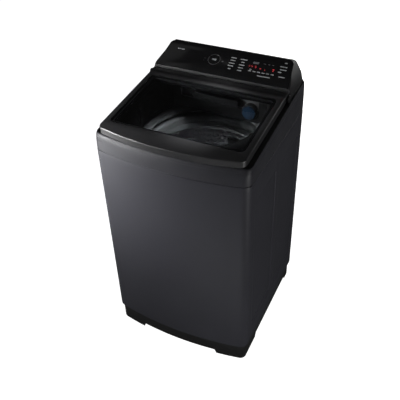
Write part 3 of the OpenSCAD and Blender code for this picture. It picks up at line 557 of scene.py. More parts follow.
ENAMEL = paint("charcoal enamel", (0.026, 0.026, 0.031), 0.46, 0.00002, 0.15)
COVER = plastic("charcoal cover plastic", (0.024, 0.024, 0.028), 0.46, 0.00002, 600, 0.15)
BASE_BLACK = plastic("black base plastic", (0.009, 0.009, 0.009), 0.5, 0.00004, 900, 0.3)
LID_BLACK = plastic("lid black plastic", (0.018, 0.018, 0.019), 0.36, 0.00001, 700)
DECK_BLACK = plastic("deck black plastic", (0.009, 0.009, 0.0095), 0.45, 0.00003, 900, 0.3)
PANEL_BLACK = gloss("console gloss black", (0.006, 0.006, 0.0065), 0.14)
FRIT_BLACK = gloss("glass border print", (0.008, 0.008, 0.0085), 0.1)
CONSOLE_BLACK = plastic("console black plastic", (0.011, 0.011, 0.012), 0.4)
RING_GREY = plastic("tub ring grey plastic", (0.2, 0.205, 0.21), 0.45, 0.00003, 900, 0.2)
TUB_GREY = plastic("tub polypropylene", (0.42, 0.43, 0.44), 0.5)
LIGHT_PLASTIC = plastic("light grey plastic", (0.40, 0.41, 0.42), 0.42)
MID_PLASTIC = plastic("mid grey plastic", (0.10, 0.10, 0.105), 0.45)
DRUM_STEEL = metal("drum stainless steel", (0.42, 0.42, 0.43), 0.3, (1, 1, 8), 160, aniso=0.3)
PIN_STEEL = metal("blackened pin steel", (0.05, 0.05, 0.052), 0.42, (12, 1, 1), 240)
ROD_STEEL = metal("bright steel", (0.5, 0.5, 0.51), 0.25, (1, 1, 12), 240)
ALLOY = metal("cast alloy", (0.40, 0.41, 0.42), 0.5, (1, 1, 1), 420, 0.00012)
ZINC = galvanised("galvanised steel", (0.36, 0.37, 0.38))
RUBBER = rubber("black rubber", (0.018, 0.018, 0.018))
GLASS = glass("lid glass", (0.86, 0.87, 0.88), 0.03)
RECESS = plastic("dispenser grey plastic", (0.13, 0.13, 0.133), 0.45)
DRAWER_DARK = plastic("drawer dark plastic", (0.009, 0.009, 0.0095), 0.4)
BALANCE_GREY = plastic("balance ring plastic", (0.24, 0.245, 0.25), 0.45, 0.00002, 900, 0.2)
COPPER = metal("copper windings", (0.42, 0.17, 0.07), 0.35, (1, 1, 60), 90, 0.0002)
BOARD = gloss("circuit board lacquer", (0.01, 0.09, 0.035), 0.25)
BLUE = gloss("softener cap blue", (0.018, 0.04, 0.075), 0.25)
BLUE_LIGHT = gloss("softener cap dome", (0.028, 0.052, 0.078), 0.3)
SILVER = metal("silver trim", (0.45, 0.45, 0.46), 0.3, (1, 1, 1), 200)
PRINT = glowing("white print", (0.3, 0.31, 0.32), 0.1)
PRINT_DIM = glowing("grey print", (0.11, 0.11, 0.115), 0.04)
LED_RED = glowing("red digits", (0.7, 0.04, 0.05), 0.55)


# ---- Camera, floor and light ----

CAMERA_PLACE = Vector((0.7495, -1.5158, 1.8619))
CAMERA_AZIMUTH = math.radians(26.62)
CAMERA_ELEVATION = math.radians(37.34)
CAMERA_ROLL = math.radians(-1.86)
CAMERA_LENS = 52.9
CAMERA_SHIFT = (-0.0075, -0.0375)
FLOOR_GLOW = 1.0                      # evenly lit from below, so the floor stays white
FLOOR_HALF = 30                       # metres
WORLD_SEEN = 1.2                      # strength that the camera sees, and that lights the machine
WORLD_LIGHT = 0.035
LIGHTS = (                            # name, place, target, size, watts and spread in degrees
    ("near left front", (-1.0, -0.9, 1.1), (-0.27, -0.27, 0.78), (0.3, 0.5), 3.3, 40),
    ("low left front", (-1.3, -0.9, 0.3), (-0.2, -0.25, 0.75), (0.6, 0.4), 15, 180),
    ("right front", (1.3, -1.3, 0.4), (0.2, -0.2, 0.4), (0.5, 0.8), 3.4, 180),
    ("high left", (-1.6, 0.4, 2.6), (0, 0.15, 0.95), (0.8, 0.8), 0.36, 180),
    ("side", (1.7, -0.7, 0.25), (0.27, 0, 0.45), (0.5, 0.9), 17, 180),
    ("rear right", (1.2, 1.6, 1.5), (0.1, 0.1, 0.9), (0.8, 0.8), 5, 180),
    ("overhead", (0.45, -0.4, 2.2), (-0.025, -0.02, 0.72), (0.16, 0.16), 1.8, 10),
    ("rear fill", (0.2, 2.4, 0.9), (0, 0.25, 0.5), (1.2, 1.2), 24, 180),
    ("low front", (0.25, -0.75, 0.03), (0.15, -0.28, 0.2), (0.8, 0.25), 1, 180))


def make_camera():
    back = Vector((math.sin(CAMERA_AZIMUTH) * math.cos(CAMERA_ELEVATION),
                   -math.cos(CAMERA_AZIMUTH) * math.cos(CAMERA_ELEVATION), math.sin(CAMERA_ELEVATION)))
    right = (-back).cross(Vector(UP)).normalized()
    up = right.cross(-back)
    side = math.cos(CAMERA_ROLL) * right + math.sin(CAMERA_ROLL) * up
    top = -math.sin(CAMERA_ROLL) * right + math.cos(CAMERA_ROLL) * up
    data = bpy.data.cameras.new("camera")
    data.lens = CAMERA_LENS
    data.sensor_width = 36
    data.shift_x, data.shift_y = CAMERA_SHIFT
    data.clip_end = 50
    camera = bpy.data.objects.new("camera", data)
    bpy.context.scene.collection.objects.link(camera)
    turn = Matrix((side, top, back)).transposed().to_4x4()
    camera.matrix_world = Matrix.Translation(CAMERA_PLACE) @ turn
    bpy.context.scene.camera = camera


def make_floor():
    mesh = bpy.data.meshes.new("floor")
    corners = [(FLOOR_HALF * x, FLOOR_HALF * y, 0) for x, y in ((-1, -1), (1, -1), (1, 1), (-1, 1))]
    mesh.from_pydata(corners, [], [(0, 1, 2, 3)])
    made, tree, shader, place = node_tree("pale floor")
    cloud = mottled(tree, noise(tree, place, 1.5, 2), (0.7, 0.7, 0.7), 0.01)
    tree.links.new(cloud, shader.inputs["Base Color"])
    shader.inputs["Roughness"].default_value = 0.9
    shader.inputs["Specular IOR Level"].default_value = 0.1
    shader.inputs["Emission Color"].default_value = (1, 1, 1, 1)
    shader.inputs["Emission Strength"].default_value = FLOOR_GLOW
    mesh.materials.append(made)
    floor = bpy.data.objects.new("floor", mesh)
    bpy.context.scene.collection.objects.link(floor)
    floor.visible_diffuse = False
    floor.visible_glossy = False


def softbox(name, place, target, size, power, spread_angle):
    data = bpy.data.lights.new(name, "AREA")
    data.shape = "RECTANGLE"
    data.size, data.size_y = size
    data.energy = power
    data.spread = math.radians(spread_angle)
    light = bpy.data.objects.new(name, data)
    bpy.context.scene.collection.objects.link(light)
    light.location = place
    light.rotation_euler = (Vector(target) - Vector(place)).to_track_quat("-Z", "Y").to_euler()
    return light


def make_world():
    """White surround for the camera, a softer grey one for light and reflections."""
    world = bpy.data.worlds.new("studio")
    world.use_nodes = True
    bpy.context.scene.world = world
    tree = world.node_tree
    tree.nodes.clear()
    out = add_node(tree, "OutputWorld", {})
    mix = add_node(tree, "MixShader", {})
    path = add_node(tree, "LightPath", {})
    seen = add_node(tree, "Background", {"Color": (1, 1, 1, 1), "Strength": WORLD_SEEN})
    lit = add_node(tree, "Background", {"Color": (1, 1, 1, 1), "Strength": WORLD_LIGHT})
    tree.links.new(path.outputs["Is Camera Ray"], mix.inputs["Fac"])
    tree.links.new(lit.outputs["Background"], mix.inputs[1])
    tree.links.new(seen.outputs["Background"], mix.inputs[2])
    tree.links.new(mix.outputs["Shader"], out.inputs["Surface"])


bpy.context.scene.view_settings.view_transform = "Standard"
make_camera()
make_world()
make_floor()
for light in LIGHTS:
    softbox(*light)
bpy.data.objects["low front"].visible_camera = False


# ---- Cabinet and base ----

FIELDS = ((-204, -16), (16, 204))     # front and rear limits of the pressed side fields
FIELD_Z = (165, 735)
FIELD_DEPTH = 3
FIELD_STEP = 4
FIELD_R = 12
REAR_HOLE = (235, 96, 796)            # half width, bottom and top of the rear opening
ROLL = 2.4                            # radius of the sheet's folded edges
FLANGE = 14                           # width of the flanges behind them
SHEET_T = 1.2
BASE_INSET = 8
BASE_EDGE_Z = 23
FOOT_GAP_Z = 5
BLOCK_X = 150                         # inner ends of the base's corner blocks
BLOCK_FRONT_Y = -130
BLOCK_REAR_Y = 198
FOOT = (208, -200)                    # place of the right levelling foot, mirrored for the left


def spaced(a, b, step):
    """Values from a up to b, about a step apart."""
    n = round((b - a) / step)
    return [a + (b - a) * i / n for i in range(n + 1)]


def field_depth(y, z):
    """How far the side wall is pressed in at a place."""
    depth = 0
    for y0, y1 in FIELDS:
        dy = max(y0 + FIELD_R - y, y - y1 + FIELD_R, 0)
        dz = max(FIELD_Z[0] + FIELD_R - z, z - FIELD_Z[1] + FIELD_R, 0)
        depth = max(depth, FIELD_DEPTH * ease((FIELD_R - math.hypot(dy, dz)) / FIELD_STEP))
    return depth


def make_shell():
    edges = [i * FIELD_STEP / 4 for i in range(5)] + [7.5, 10, 13]
    side_ys = sorted({y for y0, y1 in FIELDS for e in edges for y in (y0 + e, y1 - e)} | {-214, 0, 214})
    levels = sorted({z for e in edges for z in (FIELD_Z[0] + e, FIELD_Z[1] - e)}
                    | {REAR_HOLE[1], REAR_HOLE[2], 140} | set(spaced(200, 700, 50)))
    rear_xs = (REAR_HOLE[0], 0, -REAR_HOLE[0])

    def ring(z, inset=0.0):
        points = []
        for x, y in rim(inset, inset, inset, side_ys, rear_xs):
            if abs(x) > HALF_W - inset - 0.01:
                x -= math.copysign(field_depth(y, z), x)
            points.append((x, y, z))
        return points
    fold = ((0, FLANGE), (0, ROLL), (ROLL / 8, ROLL / 2), (ROLL / 2, ROLL / 8))
    rings = [ring(BASE_H + lift, inset) for lift, inset in fold]
    rings += [ring(z) for z in [BASE_H + ROLL] + levels + [SEAM_Z - ROLL]]
    rings += [ring(SEAM_Z - lift, inset) for lift, inset in reversed(fold)]

    def in_hole(a, b, c):
        x = (a[0] + b[0]) / 2
        z = (a[2] + c[2]) / 2
        return a[1] > REAR_Y - 1 and abs(x) < REAR_HOLE[0] and REAR_HOLE[1] < z < REAR_HOLE[2]
    piece("cabinet_sheet", loft(rings, skip=in_hole), "cabinet", ENAMEL, ["cabinet_shell"],
          thickness=SHEET_T, angle=30)


def base_bottom(x, y):
    """Lower edge of the base: down to the floor gap at the corner blocks, higher away from them."""
    across = ease((abs(x) - BLOCK_X + 2) / 9)
    along = max(ease((BLOCK_FRONT_Y - y) / 9 + 0.3), ease((y - BLOCK_REAR_Y) / 9 + 0.3))
    return BASE_EDGE_Z - (BASE_EDGE_Z - FOOT_GAP_Z) * min(across, along)


def corner_tray(sx, sy):
    """Hollow corner block under the base, open at the top."""
    inset = BASE_INSET + 2.9
    x_in = BLOCK_X + 8
    y_in = BLOCK_FRONT_Y - 8 if sy < 0 else BLOCK_REAR_Y + 8
    points = [p for p in rim(inset, inset, inset, spaced(-220, 230, 5), (230, -230), 60)
              if p[0] * sx > x_in and (p[1] - y_in) * sy > 0]
    outer_y = bowed_front(x_in, inset) if sy < 0 else REAR_Y - inset
    points += [(sx * x_in, outer_y), (sx * x_in, y_in), (sx * (HALF_W - inset), y_in)]
    centre = Vector((sx * (x_in + 20), y_in + sy * 20))
    outer = sorted(points, key=lambda p: math.atan2(p[1] - centre.y, p[0] - centre.x))
    z0 = FOOT_GAP_Z + 0.2
    low = inset_outline(outer, 1.2)
    inner = inset_outline(outer, 3)
    rings = [at_z(low, z0), at_z(outer, z0 + 1.2), at_z(outer, BASE_H - 3), at_z(inner, BASE_H - 3),
             at_z(inner, z0 + 3)]
    return loft(rings, cap_start=True, cap_end=True)


def make_base():
    side_ys = spaced(-220, 230, 3)
    rear_xs = (232, -232)

    def ring(lift, inset, low=True):
        points = rim(BASE_INSET + inset, BASE_INSET + inset, BASE_INSET + inset, side_ys, rear_xs, 90)
        return [(x, y, (base_bottom(x, y) + lift) if low else lift) for x, y in points]
    rings = [ring(0, 1.4), ring(0.4, 0.5), ring(1.4, 0), ring(BASE_H - 12, 0, False),
             ring(BASE_H - 1.6, 0, False), ring(BASE_H - 0.4, 0.6, False), ring(BASE_H - 0.2, 3, False),
             ring(BASE_H - 0.2, 34, False)]
    piece("base_skirt", loft(rings), "cabinet", BASE_BLACK, ["base_frame"],
          thickness=3, angle=40)
    parts = [corner_tray(sx, sy) for sx in (-1, 1) for sy in (-1, 1)]
    for sx in (-1, 1):
        start = (sx * FOOT[0], FOOT[1], FOOT_GAP_Z)
        parts.append(turned([(0, 12), (1.5, 14), (29, 14), (30, 13), (30, 6)], start, UP))
        for c, s in around(6):
            foot = (sx * FOOT[0] + 13 * c, FOOT[1] + 13 * s, FOOT_GAP_Z + 8)
            parts.append(rod(foot, (foot[0] + 9 * c, foot[1] + 9 * s, foot[2]), 1.6))
    piece("base_corner_blocks", joined(*parts), "cabinet", BASE_BLACK, ["base_frame"],
          bevel=0.6)


def make_feet():
    thread = []
    for i in range(24):
        thread += [(6 + 1.5 * i, 4.4), (6.75 + 1.5 * i, 5)]
    pad = [(0, 19.5), (0.4, 21.5), (1.2, 22.6), (2.6, 23), (3.6, 22.6), (4.4, 21), (4.7, 12), (4.7, 9),
           (4.75, 5)]
    for side, sx in (("left", -1), ("right", 1)):
        ribs = [rod((sx * FOOT[0] + 12 * c, FOOT[1] + 12 * s, 3.7),
                    (sx * FOOT[0] + 22 * c, FOOT[1] + 22 * s, 3.2), 0.9) for c, s in around(18)]
        body = turned(pad + thread + [(42, 4.2)], (sx * FOOT[0], FOOT[1], 0), UP, 40)
        piece("levelling_foot_" + side, joined(body, *ribs), "foot_" + side, RUBBER,
              ["foot_front_" + side], angle=30)
    pads = []
    for sx in (-1, 1):
        x = sx * FOOT[0]
        pads.append(prism(round_box(x - 30, 208, x + 30, 240, 6), 1.2, FOOT_GAP_Z, 0.8))
        for i in range(-4, 5):
            tread = round_box(x + i * 6.4 - 2.2, 210, x + i * 6.4 + 2.2, 238, 1.5, 3)
            pads.append(prism(tread, 0, 2, 0.4, 1))
    piece("rear_foot_pads", joined(*pads), "cabinet", RUBBER, ["rear_feet"], angle=40)


make_shell()
make_base()
make_feet()


# ---- Top cover ----

SKIRT = (                             # share of the height, then side, front and rear insets
    (0, 2, 2, 2), (0.007, 1.1, 1.1, 1.1), (0.02, 0.6, 0.6, 0.6), (0.3, 0.6, 1.2, 0.3),
    (0.55, 1, 2.5, 0.5), (0.8, 2, 6, 0.6), (0.815, 2.5, 6.6, 0.9), (0.83, 2.1, 6.3, 0.7),
    (0.88, 2.5, 7.6, 0.65), (0.92, 3, 9, 0.7), (0.955, 3.6, 10.4, 0.8), (0.98, 4.2, 11.7, 0.9),
    (0.995, 4.8, 12.7, 1), (1, 5.6, 13.6, 1.6))
SKIRT_WALL = 3
SEAM_GAP = 0.8                        # shadow gap between the cabinet and the cover
DECK_DROP = 4
DECK_EDGE = (8.4, 16.4, 4.4)
DECK_T = 3
THROAT_Z = 800
RIDGE_ANGLE = -158                    # vertical fold in the throat's wall
WINDOW_X = (-147, 149)                # dispenser's opening in the rear wall
WINDOW_Z = (845, 885)
CAP_X = 117
CAP_Z = 838
CAP_HOLE_R = 29


def make_skirt():
    def ring(share, side, front, rear):
        return [(x, y, SEAM_Z + SEAM_GAP + share * (shelf_z(y) - SEAM_Z - SEAM_GAP))
                for x, y in rim(side, front, rear, (-150, -50, 50, 150), (150, 0, -150))]
    outside = [ring(*step) for step in SKIRT]
    w = SKIRT_WALL
    inside = [ring(share, side + w, front + w, rear + w)
              for share, side, front, rear in reversed(SKIRT[::3])]
    piece("top_skirt_cover", loft(outside + inside, loop=True), "cabinet", COVER, ["top_skirt"],
          angle=30)


def mouth_outline(grow):
    """Round mouth of the top cover, cut off flat along its rear wall."""
    r = THROAT_R + grow
    flat = BACK_WALL_Y + grow
    half = math.degrees(math.asin(flat / r))
    return arc(0, 0, r, 180 - half, 360 + half, 120)


def wall_relief(angle, z):
    """How far the throat's wall stands in: two vertical folds and a rounded foot."""
    depth = 4 * ease((THROAT_Z + 9 - z) / 9)
    for fold in (RIDGE_ANGLE, -180 - RIDGE_ANGLE):
        depth += 5 * math.exp(-((angle - fold) / 1.6) ** 2)
    return depth


def throat_wall():
    half = math.degrees(math.asin(BACK_WALL_Y / THROAT_R))
    rings = []
    for i in range(201):
        angle = -180 - half + (180 + 2 * half) * i / 200
        t = math.radians(angle)
        top = shelf_z(THROAT_R * math.sin(t)) - DECK_DROP - 0.4
        profile = []
        for share in (0, 0.03, 0.07, 0.2, 0.4, 0.6, 0.8, 0.95, 0.985, 1):
            z = THROAT_Z + share * (top - THROAT_Z)
            profile.append((THROAT_R - wall_relief(angle, z) + 2.4 * ease((share - 0.95) / 0.05), z))
        profile += [(THROAT_R + 3.2, top), (THROAT_R + 3.2, THROAT_Z)]
        rings.append([(r * math.cos(t), r * math.sin(t), z) for r, z in profile])
    return loft(rings, cap_start=True, cap_end=True)


def rear_wall():
    """Flat rear wall of the mouth, with the dispenser's opening."""
    half = math.sqrt(THROAT_R ** 2 - BACK_WALL_Y ** 2) + 2
    top = shelf_z(BACK_WALL_Y) - DECK_DROP - 0.4
    frame_outline = [(-half, THROAT_Z), (half, THROAT_Z), (half, top), (-half, top)]
    reach = math.degrees(math.asin((WINDOW_Z[0] - CAP_Z) / CAP_HOLE_R))
    low = arc(CAP_X, CAP_Z, CAP_HOLE_R, 180 - reach, 360 + reach, 24)
    hole = ([(WINDOW_X[0] + 5, WINDOW_Z[0])] + low + [(WINDOW_X[1], WINDOW_Z[0] + 2)]
            + arc(WINDOW_X[1] - 6, WINDOW_Z[1] - 6, 6, 0, 90, 5)
            + arc(WINDOW_X[0] + 6, WINDOW_Z[1] - 6, 6, 90, 180, 5)
            + arc(WINDOW_X[0] + 6, WINDOW_Z[0] + 6, 6, 180, 262, 5))
    return upright(plate(frame_outline, [hole], -3, 0, 0, 0.8), BACK_WALL_Y)


def upright(part, y):
    """From a plate drawn as seen from the front to a depth: its top face looks forwards."""
    return moved(part, lambda p: (p[0], y - p[2], p[1]))


def make_deck():
    """Deck a little below the cover's rim, with the mouth's walls and a kerb before the console."""
    outer = rim(*DECK_EDGE, (-150, -50, 50, 150), (150, 0, -150))
    flat = plate(outer, [mouth_outline(3), ring_hole(222, 231, 10), ring_hole(-190, 215, 7)],
                 -DECK_T, 0, 0.8, 2.2)
    parts = [moved(flat, lambda p: (p[0], p[1], shelf_z(p[1]) - DECK_DROP + p[2])), throat_wall(),
             rear_wall()]
    kerb, kerb_faces = slab((-258, CONSOLE_FRONT_Y + 1, 0), (258, CONSOLE_FRONT_Y + 7.5, 1))
    parts.append(([(x, y, shelf_z(y) - (0.6 if z else DECK_DROP + 1)) for x, y, z in kerb], kerb_faces))
    piece("deck_cover", joined(*parts), "cabinet", DECK_BLACK, ["top_deck"], angle=40)


def ring_hole(x, y, r, n=24):
    """Outline of a round hole."""
    return arc(x, y, r, 0, 360 * (n - 1) / n, n - 1)


make_skirt()
make_deck()


# ---- Lid ----

LID_BODY_T = 14                       # thickness of the lid's upper plate
GLASS_EDGE = 6
GLASS_T = 4
HINGE_EDGE = 7                        # radius of the lid's upper rear edge


def lid_part(part):
    return moved(part, on_lid)


def window_outline(grow, r):
    return round_box(WINDOW[0] - grow, WINDOW[1] - grow, WINDOW[2] + grow, WINDOW[3] + grow, r, 8)


def make_lid():
    e = GLASS_EDGE
    rebate = window_outline(e + 0.4, 16)
    shelf = window_outline(0, 12)
    top = plate(lid_rim(), [rebate], -GLASS_T - 0.3, 0, 4.3, 1.1, steps=6)
    rim_part = plate(lid_rim(), [shelf], -LID_BODY_T, -GLASS_T - 0.3, 0, 0, (4, LID_T - LID_BODY_T))
    r = LID_T / 2
    section = ([(HINGE_Y - 20, -LID_T), (HINGE_Y, -LID_T)] + arc(HINGE_Y, -r, r, -75, 0, 8)
               + arc(HINGE_Y + r - HINGE_EDGE, -HINGE_EDGE, HINGE_EDGE, 0, 90, 6) + [(HINGE_Y - 20, 0)])
    hinge = moved(prism(section, -LID_HALF_W, LID_HALF_W, 1.2), lambda p: (p[2], p[0], p[1]))
    piece("lid_cover", lid_part(joined(top, rim_part, hinge)), "lid", LID_BLACK, ["lid_frame"],
          angle=34)

    pane = window_outline(e, 15.6)
    piece("lid_window_pane", lid_part(plate(pane, (), -GLASS_T, -0.05, 0.7, 0, steps=2)), "lid", GLASS,
          ["lid_glass"], angle=30)
    frit = plate(pane, [window_outline(-3, 12)], -GLASS_T - 0.25, -GLASS_T - 0.05)
    piece("lid_underside", lid_part(joined(lid_inner(), frit)), "lid", FRIT_BLACK, ["lid_inner_frame"],
          angle=34)


def lid_inner():
    """Moulded liner under the lid, with a row of slots behind the window and three bosses."""
    front = [p for p in lid_rim(4.2) if p[1] < 95]
    outline = front + [(front[-1][0], 95.5), (front[0][0], 95.5)]
    hole = window_outline(3, 14)
    slots = [round_box(60 * i - 8, WINDOW[3] + 8, 60 * i + 8, WINDOW[3] + 14, 2, 3) for i in range(-3, 4)]
    liner = plate(outline, [hole] + slots, -LID_T, -LID_BODY_T - 0.1, 0, 0)
    bosses = [rod((x, -232, -LID_T), (x, -232, -LID_T + 1.5), 4.5, 20) for x in (-170, 0, 170)]
    return joined(liner, *bosses)


def make_hinges():
    for name, s in (("left", -1), ("right", 1)):
        x = s * (LID_HALF_W + 1.5)
        ring = arc(0, 0, 10, 0, 180, 12) + [(-10, -17.5), (10, -17.5)]
        cheek = prism(ring, 0, 6, 0.8)
        bracket = moved(cheek, lambda p, x=x, s=s: (x + s * p[2], HINGE_Y + p[0], -LID_T / 2 + p[1]))
        piece("hinge_cheek_" + name, lid_part(bracket), "cabinet", DECK_BLACK, ["hinge_brackets"])
        pin = [(0, 3.4), (0.6, 4), (17, 4), (17.5, 3.4)]
        start = (s * (LID_HALF_W - 10), HINGE_Y, -LID_T / 2)
        piece("hinge_pin_" + name, lid_part(turned(pin, start, (s, 0, 0), 24)), "cabinet", PIN_STEEL,
              ["hinge_pins"], angle=30)


def make_plunger():
    """Pin that the lid holds down on its switch."""
    length = 26
    profile = [(0, 4), (22, 4), (22, 3.1), (23, 3.1), (23, 4), (24.6, 4), (25.6, 3.2), (length, 1.5)]
    shape = turned(profile, (236, -150, -length - LID_T - LID_GAP), UP, 28)
    piece("lid_switch_pin", lid_part(shape), "plunger", LIGHT_PLASTIC, ["lid_plunger"],
          angle=30)


make_lid()
make_hinges()
make_plunger()


# ---- Console ----

SHOULDER_X = 209                      # centre and radius of the console's shoulders
SHOULDER_R = 24
SHOULDER_END = 30                     # angle where the shoulder meets the straight side
SIDE_PROFILE = ((240, 969), (249, 952), (253, 933.5), (255.5, 922), (257, 915), (257.6, 908))
PANEL_SINK = 0.5                      # the housing's slope lies this far under the panel's face
PANEL_LEAN = 14
PANEL_CORNER_R = 18
REAR_ROUND = 22
PANEL_TOP_Y = CONSOLE_FRONT_Y + PANEL_LEN * math.cos(PANEL_SLOPE)
POWER = (-43, 62)                     # power button, in the panel's plane
BUTTON_R = 17
PRINT_LIFT = 0.12                     # how far print stands out of the panel, and reaches into it
PRINT_SINK = 0.1


def console_rear_y(x):
    """Depth of the console's rear, which follows the cabinet's rear corners."""
    r = REAR_R - 1
    past = abs(x) - (HALF_W - 1 - r)
    corner = r - math.sqrt(max(0, r * r - past * past)) if past > 0 else 0
    return REAR_Y - 0.5 - corner


def console_ring(x, cap):
    """Section of the housing from its front foot, up the panel's slope, and down its rear, no
    higher than its cap."""
    rear = console_rear_y(x)
    slope = math.tan(PANEL_SLOPE)
    low_z = PANEL_Z - PANEL_SINK / math.cos(PANEL_SLOPE)
    y0 = CONSOLE_FRONT_Y
    front_top = min(low_z, cap)
    meet = min(PANEL_TOP_Y, max(y0 + 1, y0 + (cap - low_z) / slope))
    points = [(y0, shelf_z(y0)), (y0, (shelf_z(y0) + front_top) / 2), (y0, front_top - 1.6),
              (y0 + 0.5, front_top - 0.4)]
    points += [(max(y0 + 0.5, y0 + (meet - y0) * s), min(cap, low_z + (meet - y0) * s * slope))
               for s in (0.02, 0.12, 0.3, 0.5, 0.7, 0.88, 1)]
    round_y, round_z = rear - REAR_ROUND, CONSOLE_TOP_Z - REAR_ROUND
    start = math.asin(min(1, max(0, cap - round_z) / REAR_ROUND))
    edge_y = round_y + REAR_ROUND * math.cos(start)
    points += [(meet + (edge_y - meet) * s, cap) for s in (0.25, 0.5, 0.75)]
    points += [(round_y + REAR_ROUND * math.cos(start * s), round_z + REAR_ROUND * math.sin(start * s)
                if cap > round_z else cap) for s in (1, 0.8, 0.6, 0.4, 0.2, 0)]
    foot = shelf_z(rear)
    points += [(rear, (points[-1][1] + foot) / 2), (rear, foot)]
    return [(x, y, max(z, shelf_z(y) - 0.3)) for y, z in points]


def make_console():
    """The panel covers the middle of the housing's slope, so it is left open there."""
    half = [(x, CONSOLE_TOP_Z) for x in (0, 75, 150)]
    half += arc(SHOULDER_X, CONSOLE_TOP_Z - SHOULDER_R, SHOULDER_R, 90, SHOULDER_END, 8)
    half += SIDE_PROFILE
    sections = [(-x, cap) for x, cap in reversed(half[1:])] + half

    def over_panel(a, b, c):
        x = (a[0] + c[0]) / 2
        y = (a[1] + b[1]) / 2
        inside = CONSOLE_FRONT_Y + 11 < y < PANEL_TOP_Y - 11
        return inside and abs(x) < 205 and a[2] > PANEL_Z and b[2] > PANEL_Z
    rings = [list(reversed(console_ring(x, cap))) for x, cap in sections]
    shell = loft(rings, closed=False, skip=over_panel)
    piece("console_cover", shell, "cabinet", CONSOLE_BLACK, ["console_housing"],
          thickness=2.6, angle=28, merge=True, even=False)


def panel_outline():
    """Panel in its own plane: leaning sides and round upper corners."""
    w, r = PANEL_HALF_W, PANEL_CORNER_R
    return ([(-w, 0), (w, 0)] + arc(w - PANEL_LEAN - r, PANEL_LEN - r, r, 0, 90, 10)
            + arc(-w + PANEL_LEAN + r, PANEL_LEN - r, r, 90, 180, 10))


def tag(x, s, w, h):
    """Thin raised bar of print on the panel, centred at a place."""
    return prism(round_box(x - w / 2, s - h / 2, x + w / 2, s + h / 2, h * 0.3, 2), -PRINT_SINK, PRINT_LIFT)


def ring_tag(x, s, r, n=32):
    """Thin raised ring of print on the panel."""
    width = 0.8
    profile = [(r - width, -PRINT_SINK), (r, -PRINT_SINK), (r, PRINT_LIFT), (r - width, PRINT_LIFT)]
    return lathe(profile, n, (x, s))


def digit(x, lit):
    """Seven-segment figure: lit names the segments from a (top) round to g (middle)."""
    s, h = 62, 7.4
    w, t = h * 0.52, h * 0.14
    places = {"a": (0, h / 2, w, t), "b": (w / 2, h / 4, t, h * 0.42), "c": (w / 2, -h / 4, t, h * 0.42),
              "d": (0, -h / 2, w, t), "e": (-w / 2, -h / 4, t, h * 0.42), "f": (-w / 2, h / 4, t, h * 0.42),
              "g": (0, 0, w, t)}
    return [tag(x + dx, s + ds, across, high) for dx, ds, across, high in (places[k] for k in lit)]


def printed(name, marks, material):
    """Piece of print that lies on the panel."""
    piece(name, moved(joined(*marks), on_panel), "cabinet", material, ["control_fascia"],
          angle=30)


def make_panel():
    hole = ring_hole(POWER[0], POWER[1], BUTTON_R + 0.3, 48)
    face = plate(panel_outline(), [hole], -3, 0, 0.5, 0.4, steps=2)
    piece("panel_face", moved(face, on_panel), "cabinet", PANEL_BLACK, ["control_fascia"],
          angle=30)
    ring = [(20.5, -0.05), (22.5, -0.05), (22.5, 0.35), (22.1, 0.6), (20.9, 0.6), (20.5, 0.35)]
    piece("power_halo", moved(lathe(ring, 72, POWER), on_panel), "cabinet", SILVER, ["power_ring"],
          angle=40)
    dome = [(0, 5), (2.5, 5), (2.6, BUTTON_R - 0.4), (3, BUTTON_R), (8.0, BUTTON_R), (8.5, BUTTON_R - 0.3),
            (8.8, BUTTON_R - 1.2), (8.72, BUTTON_R - 4), (8.55, 8), (8.5, 2)]
    knob = turned(dome, (POWER[0], POWER[1], -8.5), UP, 64)
    piece("power_key", moved(knob, on_panel), "button", PANEL_BLACK, ["power_button"],
          angle=30)
    sign = moved(tag(0, 0, 17, 6.5), lambda p: (p[0] + POWER[0], p[1] + POWER[1], p[2] + 0.06))
    piece("power_mark", moved(sign, on_panel), "button", PRINT, ["power_button"], angle=30)


def make_print():
    """Generic bars and signs where the panel has its markings."""
    rng = random.Random(4)
    marks = [tag(-179, 81, 27, 4.6)]
    dim = [ring_tag(-78, 62, 3.2), tag(-78, 52, 2, 2), ring_tag(-10, 60, 3), tag(-10, 60, 7, 1)]
    for i in range(5):
        s = 83 - i * 11.6
        marks.append(tag(24 - i * 0.3, s, (20, 19, 22, 20, 10)[i], 4.0))
        marks.append(tag(61 - i * 0.3, s - 0.5, (24, 12, 20, 18, 16)[i], 4.0))
    dim.append(tag(106, 78, 21, 9))
    for x, s, w in ((137, 80, 9), (152, 80, 6), (166, 80, 7)):
        dim.append(tag(x, s, w, 2))
    for x, s, w in ((206, 97, 9), (203, 81, 24), (205, 69, 22), (196, 58, 12), (209, 40, 22)):
        marks.append(tag(x, s, w, 3.6))
    for i in range(6):
        x = 96 + i * 16
        marks.append(tag(x, 43 + rng.uniform(-0.6, 0.6), 9, 3.4))
        marks.append(ring_tag(x - 4.5, 43, 2.4, 20))
    marks.append(tag(96, 49, 8, 2.6))
    marks.append(tag(149, 29, 46, 3.6))
    printed("panel_labels", marks, PRINT)
    printed("panel_signs", dim, PRINT_DIM)
    red = digit(85, "bc") + digit(97, "bcfg") + digit(110, "acdfg")
    red += [tag(90.5, 64, 1.2, 1.2), tag(90.5, 60, 1.2, 1.2)]
    red += [tag(128, 58, 5, 3), tag(144, 56, 3, 2.4), tag(173, 63, 5, 3.4), tag(173, 57, 4, 2)]
    printed("panel_digits", red, LED_RED)


make_console()
make_panel()
make_print()


# ---- Dispenser, tub and drum ----

DRAWER_X = (-96, 76)
DRAWER_Y = (112, 190)
DRAWER_Z = (851, 874)
PILLOWS = 36                          # pressed pillows round the drum
PILLOW_H = 21
PILLOW_DEPTH = 2.2
FILTER_HALF = 10                      # degrees, half of a lint filter's width and of its bars'
BAR_HALF = 7


